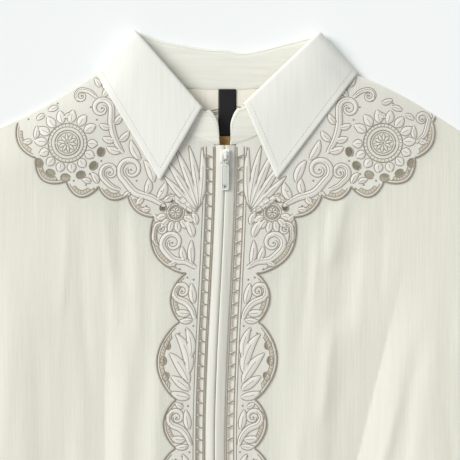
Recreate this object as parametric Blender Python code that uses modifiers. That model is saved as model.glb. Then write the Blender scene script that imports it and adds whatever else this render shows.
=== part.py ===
"""Zip-up shirt with a point collar and cutwork fronts, laid flat and face up.

The cloth is a set of thin walls: a back on the surface, two fronts puffed up over it, a sleeve tube on
each side, and a collar stand and fall that wrap the flattened neck. Each front has its embroidered
cutwork set in edge to edge, with the gaps cut right through. A covered zip closes the fronts, and its
pull tab swings on the slider.

Pattern coordinates are millimetres: x to the wearer's left, which is the right of the picture, y up
from the centre back neck seam, and z up from the surface. place() turns them into metres in the
part's frame, whose origin is under the middle of the garment.
"""

import math
from collections import namedtuple

import bmesh
import bpy
import numpy as np
from mathutils import Vector

MM = 0.001
NECK_SEAM_Y = 266.0  # from the part's origin up to the centre back neck seam

# Walls and the gap left at a seam
CLOTH = 1.2
SEAM_GAP = 0.3
CUTWORK_PROUD = 0.6  # the embroidery stands this much above the cloth
CUTWORK_WALL = 1.8
STAND_WALL = 1.4
FALL_WALL = 1.6
TAPE_WALL = 1.3
LABEL_WALL = 1.0

# The body
HEM_Y = -590.0
FRONT_NECK_Y = -54.0
SHOULDER_TIP = (235.0, -47.0)
UNDERARM = (262.0, -265.0)
HEM_SIDE_X = 268.0
ARMHOLE_HANDLES = ((226.0, -120.0), (238.0, -212.0))
FRONT_NECK_HANDLES = ((38.0, -54.0), (72.0, -18.0))

# How far the front stands up from the surface
FRONT_HEIGHT = 13.0
HEM_HEIGHT = 9.5
HEM_EASE = 150.0  # the height grows from the hem's to the front's over this length
SIDE_DROP, SIDE_DROP_FROM, SIDE_DROP_OVER = 2.0, 150.0, 110.0  # the front sinks a little towards its sides
CLOSED_EDGE_HEIGHT = 2.85  # where the front meets the back
EDGE_ROUNDING = 46.0
OVERSHOOT = 12.0  # how far beyond an edge the uncut cloth keeps falling away
COLLAR_LIFT = 2.1  # the back rides up over the fall that lies under it
LIFT_FROM_Y, LIFT_OVER_Y = -44.0, 26.0
LIFT_TO_X, LIFT_OVER_X = 192.0, 60.0
LIFT_TAKEN_UP = 0.75  # the share of that lift which the puffed front doesn't show

# The zip
ZIP_TOP_X = 1.0
ZIP_LEAN = -10.0
ZIP_LEAN_FROM, ZIP_LEAN_TO = -59.0, -340.0
ZIP_TOP_Y = -54.2
ZIP_HALF = 9.5
TAPE_ROLL = 1.7  # how much each covered edge rolls up
TAPE_SINK = 0.4  # how far its flat edges lie below the front's outer surface
SLIDER_Y = -64.0
SLIDER_SIZE = (9.0, 11.5, 2.4)
BRIDGE_REACH, BRIDGE_RISE, BRIDGE_WIDTH, BRIDGE_WALL = 3.2, 2.9, 2.4, 1.0
PULL_LENGTH, PULL_HALF, PULL_WALL = 33.5, 3.8, 1.2
PULL_EYE_HALF, PULL_EYE_END, PULL_BAR_HALF = 1.7, 5.8, 0.8
PULL_TILT = math.radians(5.4)

# The label sewn into the back neck seam
LABEL_WIDTH, LABEL_LENGTH, LABEL_X = 16.2, 50.0, 3.1

# One side of the neck: the side's sign and the places of its corners
Side = namedtuple(
    "Side", "sign neck_point shoulder_mid roll_corner fall_corner fall_point fall_front stand_end")
LEFT = Side(
    -1, (100.0, 27.0), (174.0, -18.5), (83.4, 54.4), (122.5, 16.0), (60.8, -87.0),
    (20.0, -18.5), (4.6, -53.6))
RIGHT = Side(
    1, (103.0, 23.0), (172.0, -8.0), (88.3, 51.9), (127.0, 15.0), (50.4, -85.5),
    (18.0, -14.8), (6.4, -53.6))
SIDES = {"left": LEFT, "right": RIGHT}

# The folds of the fronts. A step has a ridge on its +x side and a trough on its -x side, and joins them
# in a crease as wide as its crease value; a fold with crease 0 is a soft ridge, or a trough when lift
# is below 0.
Fold = namedtuple("Fold", "x_top y_top x_bottom y_bottom lift width crease")
FOLDS = (
    Fold(-112.0, -175.0, -116.0, -545.0, 4.6, 40.0, 2.2),
    Fold(-76.0, -215.0, -84.0, -420.0, -2.6, 11.0, 0),
    Fold(-99.0, -85.0, -95.0, -205.0, -1.8, 9.0, 0),
    Fold(-170.0, -60.0, -196.0, -420.0, 2.6, 24.0, 0),
    Fold(-160.0, -300.0, -150.0, -585.0, -2.4, 15.0, 0),
    Fold(174.0, -160.0, 92.0, -500.0, 4.6, 44.0, 2.2),
    Fold(117.0, -92.0, 98.0, -180.0, 2.2, 7.0, 0),
    Fold(127.0, -130.0, 108.0, -240.0, -2.2, 14.0, 0),
    Fold(104.0, -215.0, 92.0, -330.0, 1.8, 6.0, 0),
    Fold(192.0, -215.0, 156.0, -400.0, -2.2, 9.0, 0),
    Fold(205.0, -330.0, 190.0, -585.0, 2.6, 20.0, 0),
    Fold(84.0, -380.0, 60.0, -585.0, -2.0, 16.0, 0),
)

# The cutwork's outer edge: corners between its lobes, measured out from the zip, and how far the lobe
# that ends at each corner swells
Corner = namedtuple("Corner", "out y swell")
YOKE_CORNERS = (
    Corner(66.0, -122.0, 17.0),
    Corner(92.0, -101.0, 7.0),
    Corner(120.0, -93.0, 9.0),
    Corner(151.0, -88.0, 13.0),
    Corner(180.0, -66.0, 13.0),
    Corner(198.0, -32.0, 9.0),
    Corner(204.0, 10.0, 4.0),
)
PLACKET_TOP = Corner(33.0, -176.0, 0.0)
PLACKET_LOBES = ((46.0, 12.0), (74.0, 20.0))  # length and swell, taken in turn down to the hem
PLACKET_OUT = 37.0
LOBE_STEPS = 7

# The gaps in the cutwork
LADDER_OUT, LADDER_WIDTH, LADDER_HEIGHT, LADDER_PITCH = 14.6, 5.2, 8.8, 11.7
LADDER_FROM = -66.0
Petals = namedtuple("Petals", "out y ring start turn count length width")
PETAL_GAPS = (
    Petals(150.0, -52.0, 33.0, -165.0, 26.0, 6, 8.0, 6.2),
    Petals(46.0, -118.0, 13.0, 20.0, 50.0, 4, 6.4, 5.0),
)
LOBE_GAP = (7.4, 5.0)  # length and width of each of the three gaps inside a long placket lobe
LOBE_GAP_AT = (0.3, 0.5, 0.7)
LOBE_GAP_INSET = 6.2

# The sleeve, in plan, for the right side; the left one is its mirror image
CUFF_OUTER, CUFF_INNER = (576.0, -378.0), (507.0, -456.0)
SLEEVE_OUTER_HANDLES = ((330.0, -98.0), (470.0, -262.0))
SLEEVE_INNER_HANDLES = ((315.0, -318.0), (420.0, -392.0))
SLEEVE_HEIGHT, CUFF_HEIGHT = 14.0, 10.0
Crease = namedtuple("Crease", "across_start across_end along_start along_end lift width")
SLEEVE_CREASES = (
    Crease(0.30, 0.46, 0.02, 0.62, 2.6, 0.070),
    Crease(0.62, 0.52, 0.05, 0.95, -2.2, 0.060),
    Crease(0.82, 0.66, 0.00, 0.50, 2.2, 0.060),
    Crease(0.22, 0.30, 0.45, 0.98, 1.8, 0.060),
)

# The collar, by stations from the front end round to the centre back: where the stand's seam is along
# the neck, where the roll is, how high the roll is, how high the fall's outer edge is (None: on the
# front) and which way the fall lies off the stand, in degrees above the horizontal. The front rows give
# shares of the front neckline and of the line from fall_front to roll_corner; the back rows give shares
# from the side fold to the centre.
Station = namedtuple("Station", "along roll_along roll_z edge_z facing")
FRONT_STATIONS = (
    Station(0.44, 0.0, 15.0, None, 90),
    Station(0.66, 0.38, 15.3, None, 90),
    Station(0.87, 0.75, 14.9, None, 87),
    Station(0.96, 0.92, 13.4, None, 74),
    Station(0.988, 0.975, 11.6, 7.3, 48),
)
FOLD_STATION = Station(1.0, 1.0, 8.6, 4.1, 0)
BACK_STATIONS = (
    Station(0.015, 0.018, 6.4, 1.25, -48),
    Station(0.055, 0.06, 5.1, 0.8, -76),
    Station(0.3, 0.3, 4.6, 0.8, -90),
    Station(0.76, 0.76, 4.6, 0.8, -90),
    Station(1.0, 1.0, 4.6, 0.8, -90),
)
STAND_TOP_HANDLES = ((12.0, -21.0), (4.6, -28.0))
STAND_END_STEPS = 4
STAND_SINK = 0.4  # how far the stand's seam lies below the front's outer surface
STAND_END_RISE, STAND_FRONT_RISE = 1.4, 2.0  # from the seam to the free edge, at the end and beside it
BACK_ROLL_DIP = 38.2
BACK_ROLL_DENT = (20.0, 3.6, 13.0)  # x, depth and width of the dent in the back roll
BACK_FALL_Y = -9.0
FALL_TURN = 1.9  # radius of the fall's middle line where it rolls over the stand
FALL_LIP = 0.35  # how far the fall's tilted edge reaches back over the stand
FALL_REST = 1.7  # the fall's middle line above the cutwork it lies on
FALL_PUFF = 2.0

Finish = namedtuple("Finish", "colour roughness metallic")
IVORY_COTTON = Finish((0.80, 0.80, 0.73), 0.8, 0.0)
EMBROIDERED_CLOTH = Finish((0.68, 0.66, 0.60), 0.7, 0.0)
LABEL_SATIN = Finish((0.02, 0.02, 0.022), 0.5, 0.0)
CLEAR_PULL = Finish((0.82, 0.83, 0.80), 0.25, 0.0)
ZIP_METAL = Finish((0.75, 0.74, 0.70), 0.3, 1.0)


def smooth(t):
    """An S curve from 0 to 1 as t goes from 0 to 1, flat beyond."""
    t = np.clip(t, 0.0, 1.0)
    return t * t * (3.0 - 2.0 * t)


def bezier(start, handles, end, t):
    """Points on a cubic curve at the shares t."""
    t = np.atleast_1d(np.asarray(t, float))[:, None]
    p = [np.array(q, float) for q in (start, *handles, end)]
    return (1 - t) ** 3 * p[0] + 3 * (1 - t) ** 2 * t * p[1] + 3 * (1 - t) * t**2 * p[2] + t**3 * p[3]


def spline(points, steps):
    """A smooth row through points, with that many steps between each two."""
    p = np.array(points, float)
    p = np.vstack([2 * p[0] - p[1], p, 2 * p[-1] - p[-2]])
    rows = []
    for i in range(1, len(p) - 2):
        for k in range(steps):
            t = k / steps
            rows.append(0.5 * (2 * p[i] + (p[i + 1] - p[i - 1]) * t
                               + (2 * p[i - 1] - 5 * p[i] + 4 * p[i + 1] - p[i + 2]) * t**2
                               + (3 * p[i] - p[i - 1] - 3 * p[i + 1] + p[i + 2]) * t**3))
    rows.append(p[-2])
    return np.array(rows)


def place(x, y, z):
    """Pattern millimetres as a point of the part's frame, in metres."""
    return Vector((x * MM, (y + NECK_SEAM_Y) * MM, z * MM))


def zip_x(y):
    """The zip's centre line, which leans to one side on the way down."""
    return ZIP_TOP_X + ZIP_LEAN * smooth((ZIP_LEAN_FROM - y) / (ZIP_LEAN_FROM - ZIP_LEAN_TO))


def armhole_shares():
    """Where the armhole's points are, closer together at its ends."""
    return 0.5 - 0.5 * np.cos(np.linspace(0, math.pi, 9))


def mirrored(points, sign):
    return [(x * sign, y) for x, y in points]


def shoulder(side, steps=4):
    """The shoulder seam from the neck to the tip."""
    return spline([side.neck_point, side.shoulder_mid, SHOULDER_TIP], steps)


def armhole(t):
    return bezier(SHOULDER_TIP, ARMHOLE_HANDLES, UNDERARM, t)


def front_neck(side, t):
    return bezier((0.0, FRONT_NECK_Y), FRONT_NECK_HANDLES, side.neck_point, t)


def back_neck_y(side, x):
    """The back neckline: nearly straight in the middle, up to the neck point at the side."""
    return side.neck_point[1] * (np.abs(x) / side.neck_point[0]) ** 3.2 - 0.5


def closed_edges(side):
    """The shoulder and the side seam, where the front comes down to the back."""
    return [shoulder(side), np.array([UNDERARM, (HEM_SIDE_X, HEM_Y)])]


def inside_by(x, y, line):
    """How far each point is inside a line of straight stretches, which has the outside on its left."""
    best = np.full(np.shape(x), np.inf)
    for (ax, ay), (bx, by) in zip(line[:-1], line[1:]):
        dx, dy = bx - ax, by - ay
        t = ((x - ax) * dx + (y - ay) * dy) / (dx * dx + dy * dy)
        outside = (dx * (y - ay) - dy * (x - ax) > 0) & (t > 0) & (t < 1)
        t = np.clip(t, 0, 1)
        reach = np.hypot(x - ax - t * dx, y - ay - t * dy) * np.where(outside, -1.0, 1.0)
        best = np.where(np.abs(reach) < np.abs(best), reach, best)
    return np.maximum(best, -OVERSHOOT)


def back_lift(x, y):
    """The underside of the back: on the surface, but over the fall near the neck."""
    near_collar = smooth((y - LIFT_FROM_Y) / LIFT_OVER_Y)
    return COLLAR_LIFT * near_collar * smooth((LIFT_TO_X - np.abs(x)) / LIFT_OVER_X)


def fold_height(x, y):
    """What the folds add to the front."""
    total = np.zeros(np.shape(x))
    for fold in FOLDS:
        t = (fold.y_top - y) / (fold.y_top - fold.y_bottom)
        path = fold.x_top + (fold.x_bottom - fold.x_top) * np.clip(t, 0, 1)
        across = x - path
        strength = smooth(t / 0.35) * smooth((1.0 - t) / 0.3)
        swell = np.exp(-((across / fold.width) ** 2))
        if fold.crease:
            swell = swell * np.tanh(across / fold.crease)
        total = total + fold.lift * swell * strength
    return total


def front_top(x, y):
    """The outer surface of the front at a place in plan."""
    side = LEFT if np.mean(x) < 0 else RIGHT
    x_out = np.abs(x)
    near = np.full(np.shape(x), np.inf)
    for line in closed_edges(side):
        near = np.minimum(near, inside_by(x_out, y, line))
    inside = np.sin(0.5 * math.pi * np.minimum(near / EDGE_ROUNDING, 1))
    middle = HEM_HEIGHT + (FRONT_HEIGHT - HEM_HEIGHT) * smooth((y - HEM_Y) / HEM_EASE)
    middle = middle - SIDE_DROP * smooth((x_out - SIDE_DROP_FROM) / SIDE_DROP_OVER)
    lift = back_lift(x, y)
    full = middle + fold_height(x, y) - CLOSED_EDGE_HEIGHT - LIFT_TAKEN_UP * lift
    return CLOSED_EDGE_HEIGHT + lift + full * inside


def new_material(name, finish):
    material = bpy.data.materials.new(name)
    material.use_nodes = True
    shader = material.node_tree.nodes["Principled BSDF"]
    shader.inputs["Base Color"].default_value = (*finish.colour, 1.0)
    shader.inputs["Roughness"].default_value = finish.roughness
    shader.inputs["Metallic"].default_value = finish.metallic
    return material


def new_object(name, bm, collection, material=None):
    """Makes bm an object, with the material if it has one."""
    mesh = bpy.data.meshes.new(name)
    bm.to_mesh(mesh)
    bm.free()
    obj = bpy.data.objects.new(name, mesh)
    collection.objects.link(obj)
    if material:
        mesh.materials.append(material)
        mesh.shade_smooth()
        mesh.set_sharp_from_angle(angle=math.radians(40))
    return obj


def laid_grid(rows, columns, surface):
    """A flat grid whose points are moved to surface(row, column), given in pattern millimetres."""
    bm = bmesh.new()
    bmesh.ops.create_grid(bm, x_segments=columns - 1, y_segments=rows - 1, size=0.5)
    for vert in bm.verts:
        column = round((vert.co.x + 0.5) * (columns - 1))
        row = round((vert.co.y + 0.5) * (rows - 1))
        vert.co = place(*surface(row, column))
    return bm


def thicken(obj, wall, outward=False):
    """Gives an open sheet its wall, on the side away from its faces unless outward is set."""
    solidify = obj.modifiers.new("Wall", "SOLIDIFY")
    solidify.thickness = wall * MM
    solidify.offset = 1.0 if outward else -1.0
    solidify.use_even_offset = True
    return obj


def in_triangles(obj):
    """Splits the sheet's cells, which aren't flat, so that a cut meets flat faces only."""
    obj.modifiers.new("Flat faces", "TRIANGULATE")
    return obj


def upright(outlines, low, high, at):
    """Upright prisms between two heights, one for each outline, with their points placed by at."""
    bm = bmesh.new()
    for outline in outlines:
        rings = [[bm.verts.new(at((x, y, z))) for x, y in outline] for z in (low, high)]
        bm.faces.new(rings[0])
        bm.faces.new(rings[1])
        count = len(outline)
        for k in range(count):
            n = (k + 1) % count
            bm.faces.new((rings[0][k], rings[0][n], rings[1][n], rings[1][k]))
    bmesh.ops.recalc_face_normals(bm, faces=bm.faces)
    return bm


def prism(name, outlines, cutters, low=-30.0, high=60.0):
    """A cutter made of upright prisms, one for each outline."""
    cutter = new_object(name, upright(outlines, low, high, lambda p: place(*p)), cutters)
    cutter.hide_render = True
    cutter.display_type = "WIRE"
    return cutter


def cut(obj, cutter, operation):
    boolean = obj.modifiers.new(cutter.name, "BOOLEAN")
    boolean.operation = operation
    boolean.object = cutter


def shifted(outline, distance):
    """A closed outline moved outwards all round by a small distance."""
    p = np.array(outline, float)
    along = np.roll(p, -1, axis=0) - np.roll(p, 1, axis=0)
    normal = np.stack([along[:, 1], -along[:, 0]], axis=1) / np.linalg.norm(along, axis=1)[:, None]
    area = np.sum(p[:, 0] * np.roll(p[:, 1], -1) - np.roll(p[:, 0], -1) * p[:, 1])
    return p + normal * distance * np.sign(area)


def front_outline(side):
    """One front's pattern piece, from the zip round the neck, shoulder, armhole, side and hem."""
    neck = front_neck(side, np.linspace(0.0, 1.0, 13))[2:]
    edge = [*neck, *shoulder(side)[1:], *armhole(armhole_shares())[1:], (HEM_SIDE_X, HEM_Y)]
    edge = mirrored(edge, side.sign)
    ys = np.linspace(HEM_Y, FRONT_NECK_Y + 0.1, 12)
    zip_edge = [(zip_x(y) + side.sign * (ZIP_HALF + SEAM_GAP), y) for y in ys]
    return [*edge, *zip_edge]


def lobe(start, end, swell):
    """Points along a lobe: a half sine from start to end, swelling to its right."""
    a, b = np.array(start, float), np.array(end, float)
    along = b - a
    out = np.array([along[1], -along[0]]) / np.linalg.norm(along)
    shares = np.linspace(0, 1, LOBE_STEPS + 1)[1:]
    return [a + along * t + out * swell * math.sin(math.pi * t) ** 0.75 for t in shares]


def placket_corners():
    """The corners down the placket, from under the yoke to past the hem."""
    corners = [PLACKET_TOP]
    y, turn = PLACKET_TOP.y, 0
    while y > HEM_Y - 10.0:
        length, swell = PLACKET_LOBES[turn % 2]
        y, turn = y - length, turn + 1
        corners.append(Corner(PLACKET_OUT, y, swell))
    return corners


def cutwork_outline(side):
    """The edge of one side's cutwork, reaching past the panel at the zip, neck, shoulder and hem."""
    points = []
    corners = placket_corners()[::-1]
    points.append((corners[0].out, corners[0].y))
    for here, there in zip(corners[:-1], corners[1:]):
        points += lobe((here.out, here.y), (there.out, there.y), here.swell)
    last = PLACKET_TOP
    for corner in YOKE_CORNERS:
        points += lobe((last.out, last.y), (corner.out, corner.y), corner.swell)
        last = corner
    points += [(last.out, 70.0), (-4.0, 70.0), (-4.0, corners[0].y)]
    return [(zip_x(y) + side.sign * out, y) for out, y in points]


def oval(x, y, length, width, turn, corners=6):
    """A rounded gap: length runs along turn, in degrees."""
    a = math.radians(turn)
    angles = [2 * math.pi * (k + 0.5) / corners for k in range(corners)]
    return [(x + 0.5 * length * math.cos(t) * math.cos(a) - 0.5 * width * math.sin(t) * math.sin(a),
             y + 0.5 * length * math.cos(t) * math.sin(a) + 0.5 * width * math.sin(t) * math.cos(a))
            for t in angles]


def cutwork_gaps(side):
    """The outlines of one side's gaps: the ladder beside the zip, the petals and the placket lobes."""
    gaps = []
    y = LADDER_FROM
    while y - LADDER_HEIGHT > HEM_Y + 8.0:
        x = zip_x(y) + side.sign * LADDER_OUT
        low, high, half = y - LADDER_HEIGHT, y, LADDER_WIDTH / 2
        gaps.append([(x - half, low), (x + half, low), (x + half, high), (x - half, high)])
        y -= LADDER_PITCH
    for group in PETAL_GAPS:
        for k in range(group.count):
            angle = group.start + k * group.turn
            out = group.out + group.ring * math.cos(math.radians(angle))
            y = group.y + group.ring * math.sin(math.radians(angle))
            gaps.append(oval(zip_x(y) + side.sign * out, y, group.length, group.width,
                             (angle + 90.0) * side.sign))
    corners = placket_corners()
    for above, below in zip(corners[:-1], corners[1:]):
        if below.swell < max(swell for _, swell in PLACKET_LOBES) or below.y < HEM_Y + 4.0:
            continue
        for t in LOBE_GAP_AT:
            y = above.y + (below.y - above.y) * t
            out = PLACKET_OUT + below.swell * math.sin(math.pi * t) ** 0.75 - LOBE_GAP_INSET
            slope = math.degrees(math.atan2(t - 0.5, 0.62)) * side.sign
            gaps.append(oval(zip_x(y) + side.sign * out, y, LOBE_GAP[0], LOBE_GAP[1], 90.0 + slope))
    return gaps


def side_seam_x(y):
    t = np.clip((UNDERARM[1] - y) / (UNDERARM[1] - HEM_Y), 0.0, 1.0)
    return UNDERARM[0] + (HEM_SIDE_X - UNDERARM[0]) * t


def crease_path(side):
    """The x of the side's creased fold at any height, which the grid's columns follow."""
    fold = next(f for f in FOLDS if f.crease and f.x_top * side.sign > 0)

    def at(y):
        t = np.clip((fold.y_top - y) / (fold.y_top - fold.y_bottom), 0, 1)
        return fold.x_top + (fold.x_bottom - fold.x_top) * t

    return at


def front_sheet(name, side, collection, material):
    """The front's cloth before it is cut, with its columns gathered at the creased fold."""
    path = crease_path(side)
    near = (-14.0, -6.0, -2.6, 0.0, 2.6, 6.0, 14.0)
    inner, outer = 4, 6
    ys = np.linspace(HEM_Y - 6.0, 36.0, 20)

    def columns(y):
        start = zip_x(y) + side.sign * 5.0
        middle = [path(y) + d * side.sign for d in near]
        end = side.sign * (side_seam_x(y) + 1.5)
        return [*np.linspace(start, middle[0], inner, endpoint=False), *middle,
                *np.linspace(middle[-1], end, outer + 1)[1:]]

    table = np.array([columns(y) for y in ys])
    heights = np.array([front_top(row, np.full(len(row), y)) for row, y in zip(table, ys)])
    last = table.shape[1] - 1

    def surface(row, column):
        column = column if side.sign > 0 else last - column
        return table[row, column], ys[row], heights[row, column]

    bm = laid_grid(len(ys), last + 1, surface)
    return in_triangles(thicken(new_object(name, bm, collection, material), CLOTH))


def cutwork_sheet(name, side, collection, material):
    """The cutwork's cloth before it is cut: wide over the yoke and narrow down the placket."""
    ys = np.concatenate([np.linspace(HEM_Y - 6.0, -190.0, 10), np.linspace(-174.0, 34.0, 13)])
    count = 9

    def columns(y):
        reach = 72.0 + 142.0 * smooth((y + 190.0) / 40.0)
        return zip_x(y) + side.sign * np.linspace(3.0, reach, count)

    table = np.array([columns(y) for y in ys])
    heights = np.array([front_top(row, np.full(len(row), y)) for row, y in zip(table, ys)]) + CUTWORK_PROUD

    def surface(row, column):
        column = column if side.sign > 0 else count - 1 - column
        return table[row, column], ys[row], heights[row, column]

    bm = laid_grid(len(ys), count, surface)
    return in_triangles(thicken(new_object(name, bm, collection, material), CUTWORK_WALL))


def build_fronts(collection, cutters, cotton, embroidered):
    """Both fronts: each panel is cut by its pattern piece, and its cutwork is set into it."""
    for label, side in SIDES.items():
        outline = front_outline(side)
        piece = prism(f"pattern_front_{label}", [outline], cutters)
        edge = cutwork_outline(side)
        window = prism(f"pattern_window_{label}", [shifted(edge, SEAM_GAP / 2)], cutters)
        inset = prism(f"pattern_cutwork_{label}", [shifted(edge, -SEAM_GAP / 2)], cutters)
        gaps = prism(f"pattern_gaps_{label}", cutwork_gaps(side), cutters)
        panel = front_sheet(f"front_{label}", side, collection, cotton)
        cut(panel, piece, "INTERSECT")
        cut(panel, window, "DIFFERENCE")
        cutwork = cutwork_sheet(f"cutwork_{label}", side, collection, embroidered)
        cut(cutwork, gaps, "DIFFERENCE")
        cut(cutwork, inset, "INTERSECT")
        cut(cutwork, piece, "INTERSECT")


def build_back(collection, cutters, cotton):
    """The back lies on the surface and rides up over the fall at the neck."""
    halves = {}
    for label, side in SIDES.items():
        neck_x = np.linspace(0, side.neck_point[0], 9)
        neck = [(x, float(back_neck_y(side, x))) for x in neck_x]
        edge = [*neck, *shoulder(side)[1:], *armhole(armhole_shares())[1:], (HEM_SIDE_X, HEM_Y)]
        halves[label] = mirrored(edge, side.sign)
    outline = [*halves["right"], *halves["left"][:0:-1]]
    ys = (HEM_Y - 6.0, -330.0, -60.0, -44.0, -37.0, -31.0, -25.0, -18.0, 0.0, 16.0, 40.0)
    half = (60.0, 132.0, 144.0, 156.0, 168.0, 180.0, 192.0, 275.0)
    xs = (*[-x for x in half[::-1]], 0.0, *half)

    def surface(row, column):
        return xs[column], ys[row], float(back_lift(xs[column], ys[row]))

    bm = laid_grid(len(ys), len(xs), surface)
    back = thicken(new_object("back", bm, collection, cotton), CLOTH, outward=True)
    cut(back, prism("pattern_back", [outline], cutters), "INTERSECT")


def sleeve_plan(along, across):
    """A place on the sleeve in plan, blended between its four edges."""
    outer = bezier(SHOULDER_TIP, SLEEVE_OUTER_HANDLES, CUFF_OUTER, along)[0]
    inner = bezier(UNDERARM, SLEEVE_INNER_HANDLES, CUFF_INNER, along)[0]
    top = armhole(across)[0]
    tip, underarm = np.array(SHOULDER_TIP), np.array(UNDERARM)
    cuff_outer, cuff_inner = np.array(CUFF_OUTER), np.array(CUFF_INNER)
    end = cuff_outer + (cuff_inner - cuff_outer) * across
    ruled = outer + (inner - outer) * across
    crossed = top + (end - top) * along
    corners = ((1 - along) * ((1 - across) * tip + across * underarm)
               + along * ((1 - across) * cuff_outer + across * cuff_inner))
    return ruled + crossed - corners


def sleeve_top(sign, along, across):
    """The height of the sleeve's upper side, which meets the front at the armhole."""
    at_armhole = armhole(across)[0]
    start = float(front_top(np.array([sign * at_armhole[0]]), np.array([at_armhole[1]]))[0])
    full = SLEEVE_HEIGHT + (CUFF_HEIGHT - SLEEVE_HEIGHT) * smooth((along - 0.45) / 0.55)
    arch = math.sin(math.pi * across) ** 0.55
    height = CLOSED_EDGE_HEIGHT + (full - CLOSED_EDGE_HEIGHT) * arch
    for crease in SLEEVE_CREASES:
        t = (along - crease.along_start) / (crease.along_end - crease.along_start)
        centre = crease.across_start + (crease.across_end - crease.across_start) * min(max(t, 0.0), 1.0)
        strength = smooth(t / 0.3) * smooth((1.0 - t) / 0.3)
        height += crease.lift * math.exp(-(((across - centre) / crease.width) ** 2)) * strength * arch
    return start + (height - start) * smooth(along / 0.16)


def build_sleeves(collection, cutters, cotton):
    """Each sleeve is one flattened tube, flat below and arched above, cut along the armhole."""
    over = armhole_shares()
    under = over[::-1]
    alongs = [-0.025, 0.0, *np.linspace(0.04, 1.0, 12)]
    around = len(over) + len(under)
    for label, side in SIDES.items():

        def surface(row, column, sign=side.sign):
            k = column % around
            top = k < len(over)
            across = float(over[k] if top else under[k - len(over)])
            x, y = sleeve_plan(alongs[row], across)
            return sign * x, y, float(sleeve_top(sign, alongs[row], across)) if top else 0.0

        bm = laid_grid(len(alongs), around + 1, surface)
        bmesh.ops.remove_doubles(bm, verts=bm.verts, dist=0.01 * MM)
        bmesh.ops.recalc_face_normals(bm, faces=bm.faces)
        sleeve = new_object(f"sleeve_{label}", bm, collection, cotton)
        face_outwards(sleeve)
        thicken(sleeve, CLOTH)
        low, high, middle = UNDERARM[1] - 65.0, SHOULDER_TIP[1] + 77.0, SHOULDER_TIP[0] / 2
        body = [*armhole(over), (UNDERARM[0], low), (middle, low), (middle, high), (SHOULDER_TIP[0], high)]
        edge = shifted(mirrored(body, side.sign), SEAM_GAP)
        cut(sleeve, prism(f"pattern_armhole_{label}", [edge], cutters), "DIFFERENCE")


def face_outwards(tube):
    """Turns the faces of a flattened tube so that its upper side faces up."""
    top = max(tube.data.polygons, key=lambda face: face.center.z)
    if top.normal.z < 0:
        tube.data.flip_normals()


def back_roll(side, share):
    """The back roll from the side corner, at share 0, to the centre, at share 1."""
    x = side.roll_corner[0] * (1.0 - share)
    y = BACK_ROLL_DIP + (side.roll_corner[1] - BACK_ROLL_DIP) * (x / side.roll_corner[0]) ** 2
    dent_x, depth, width = BACK_ROLL_DENT
    return x, y - depth * math.exp(-(((side.sign * x - dent_x) / width) ** 2))


def height_at(side, point):
    """The front's outer surface at one place given on the right side."""
    return float(front_top(np.array([side.sign * point[0]]), np.array([point[1]]))[0])


def collar_stations(side):
    """For one side: rows of (seam, roll, outer edge of the fall, direction to the fall), front to back."""
    corner = np.array(side.roll_corner)
    along_roll = corner - np.array(side.fall_front)
    along_edge = np.array(side.fall_corner) - np.array(side.fall_point)
    side_way = np.array([math.cos(math.radians(40)), math.sin(math.radians(40)), 0.0])
    back_seam_z = back_lift(0.0, 0.0) + CLOTH / 2
    rows = []
    for s in (*FRONT_STATIONS, FOLD_STATION):
        seam = front_neck(side, s.along)[0]
        seam_z = height_at(side, seam) - STAND_SINK if s.along < 1 else back_seam_z + 1.0
        roll = np.array(side.fall_front) + along_roll * s.roll_along
        edge = np.array(side.fall_point) + along_edge * s.roll_along
        edge_z = s.edge_z or height_at(side, edge) + CUTWORK_PROUD + FALL_REST
        rows.append((s, seam, seam_z, roll, edge, edge_z))
    for s in BACK_STATIONS:
        x = side.neck_point[0] * (1.0 - s.along)
        seam = np.array([x, float(back_neck_y(side, x))])
        edge_x = side.fall_corner[0] * (1.0 - s.along)
        rise = (side.fall_corner[1] - BACK_FALL_Y) * (edge_x / side.fall_corner[0]) ** 3
        edge = np.array([edge_x, BACK_FALL_Y + rise])
        rows.append((s, seam, back_seam_z, back_roll(side, s.roll_along), edge, s.edge_z))
    found = []
    for s, seam, seam_z, roll, edge, edge_z in rows:
        turn = math.radians(s.facing)
        way = side_way * math.cos(turn) + np.array([0.0, 0.0, math.sin(turn)])
        found.append([np.array([*seam, seam_z]), np.array([*roll, s.roll_z]), np.array([*edge, edge_z]), way])
    return found


def whole_collar():
    """The stations of both sides in one run, from the left front round the back to the right front."""
    rows = []
    for side in (LEFT, RIGHT):
        flip = np.array([side.sign, 1.0, 1.0])
        half = [[point * flip for point in row] for row in collar_stations(side)]
        rows += half if side is LEFT else half[::-1][1:]
    return [[row[i] for row in rows] for i in range(4)]


def stand_ends(side):
    """The rounded front end of the stand, beyond the fall: rows of (seam, top), from the zip outwards."""
    shares = np.linspace(0, 1, STAND_END_STEPS, endpoint=False)
    corner = (side.stand_end[0], side.stand_end[1] + 8.0)
    tops = bezier(side.fall_front, STAND_TOP_HANDLES, corner, 1.0 - shares)
    first = side.stand_end[0] / (3 * FRONT_NECK_HANDLES[0][0])
    last = FRONT_STATIONS[0].along
    rows = []
    for share, top in zip(shares, tops):
        seam = front_neck(side, first + (last - first) * share)[0]
        seam_z = height_at(side, seam) - STAND_SINK
        rise = STAND_END_RISE if share == 0 else STAND_FRONT_RISE + 0.4 * share
        rows.append((np.array([side.sign * seam[0], seam[1], seam_z]),
                     np.array([side.sign * top[0], top[1], seam_z + rise])))
    return rows


def below_neck(curve_points):
    """The body below a neckline given on both sides, which the stand is cut to with a seam's gap."""
    left, right = curve_points[0], curve_points[-1]
    around = [(right[0] + 40.0, right[1] - 3.0), (right[0] + 40.0, -160.0), (left[0] - 40.0, -160.0),
              (left[0] - 40.0, left[1] - 3.0)]
    return shifted([*curve_points, *around], SEAM_GAP)


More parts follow.
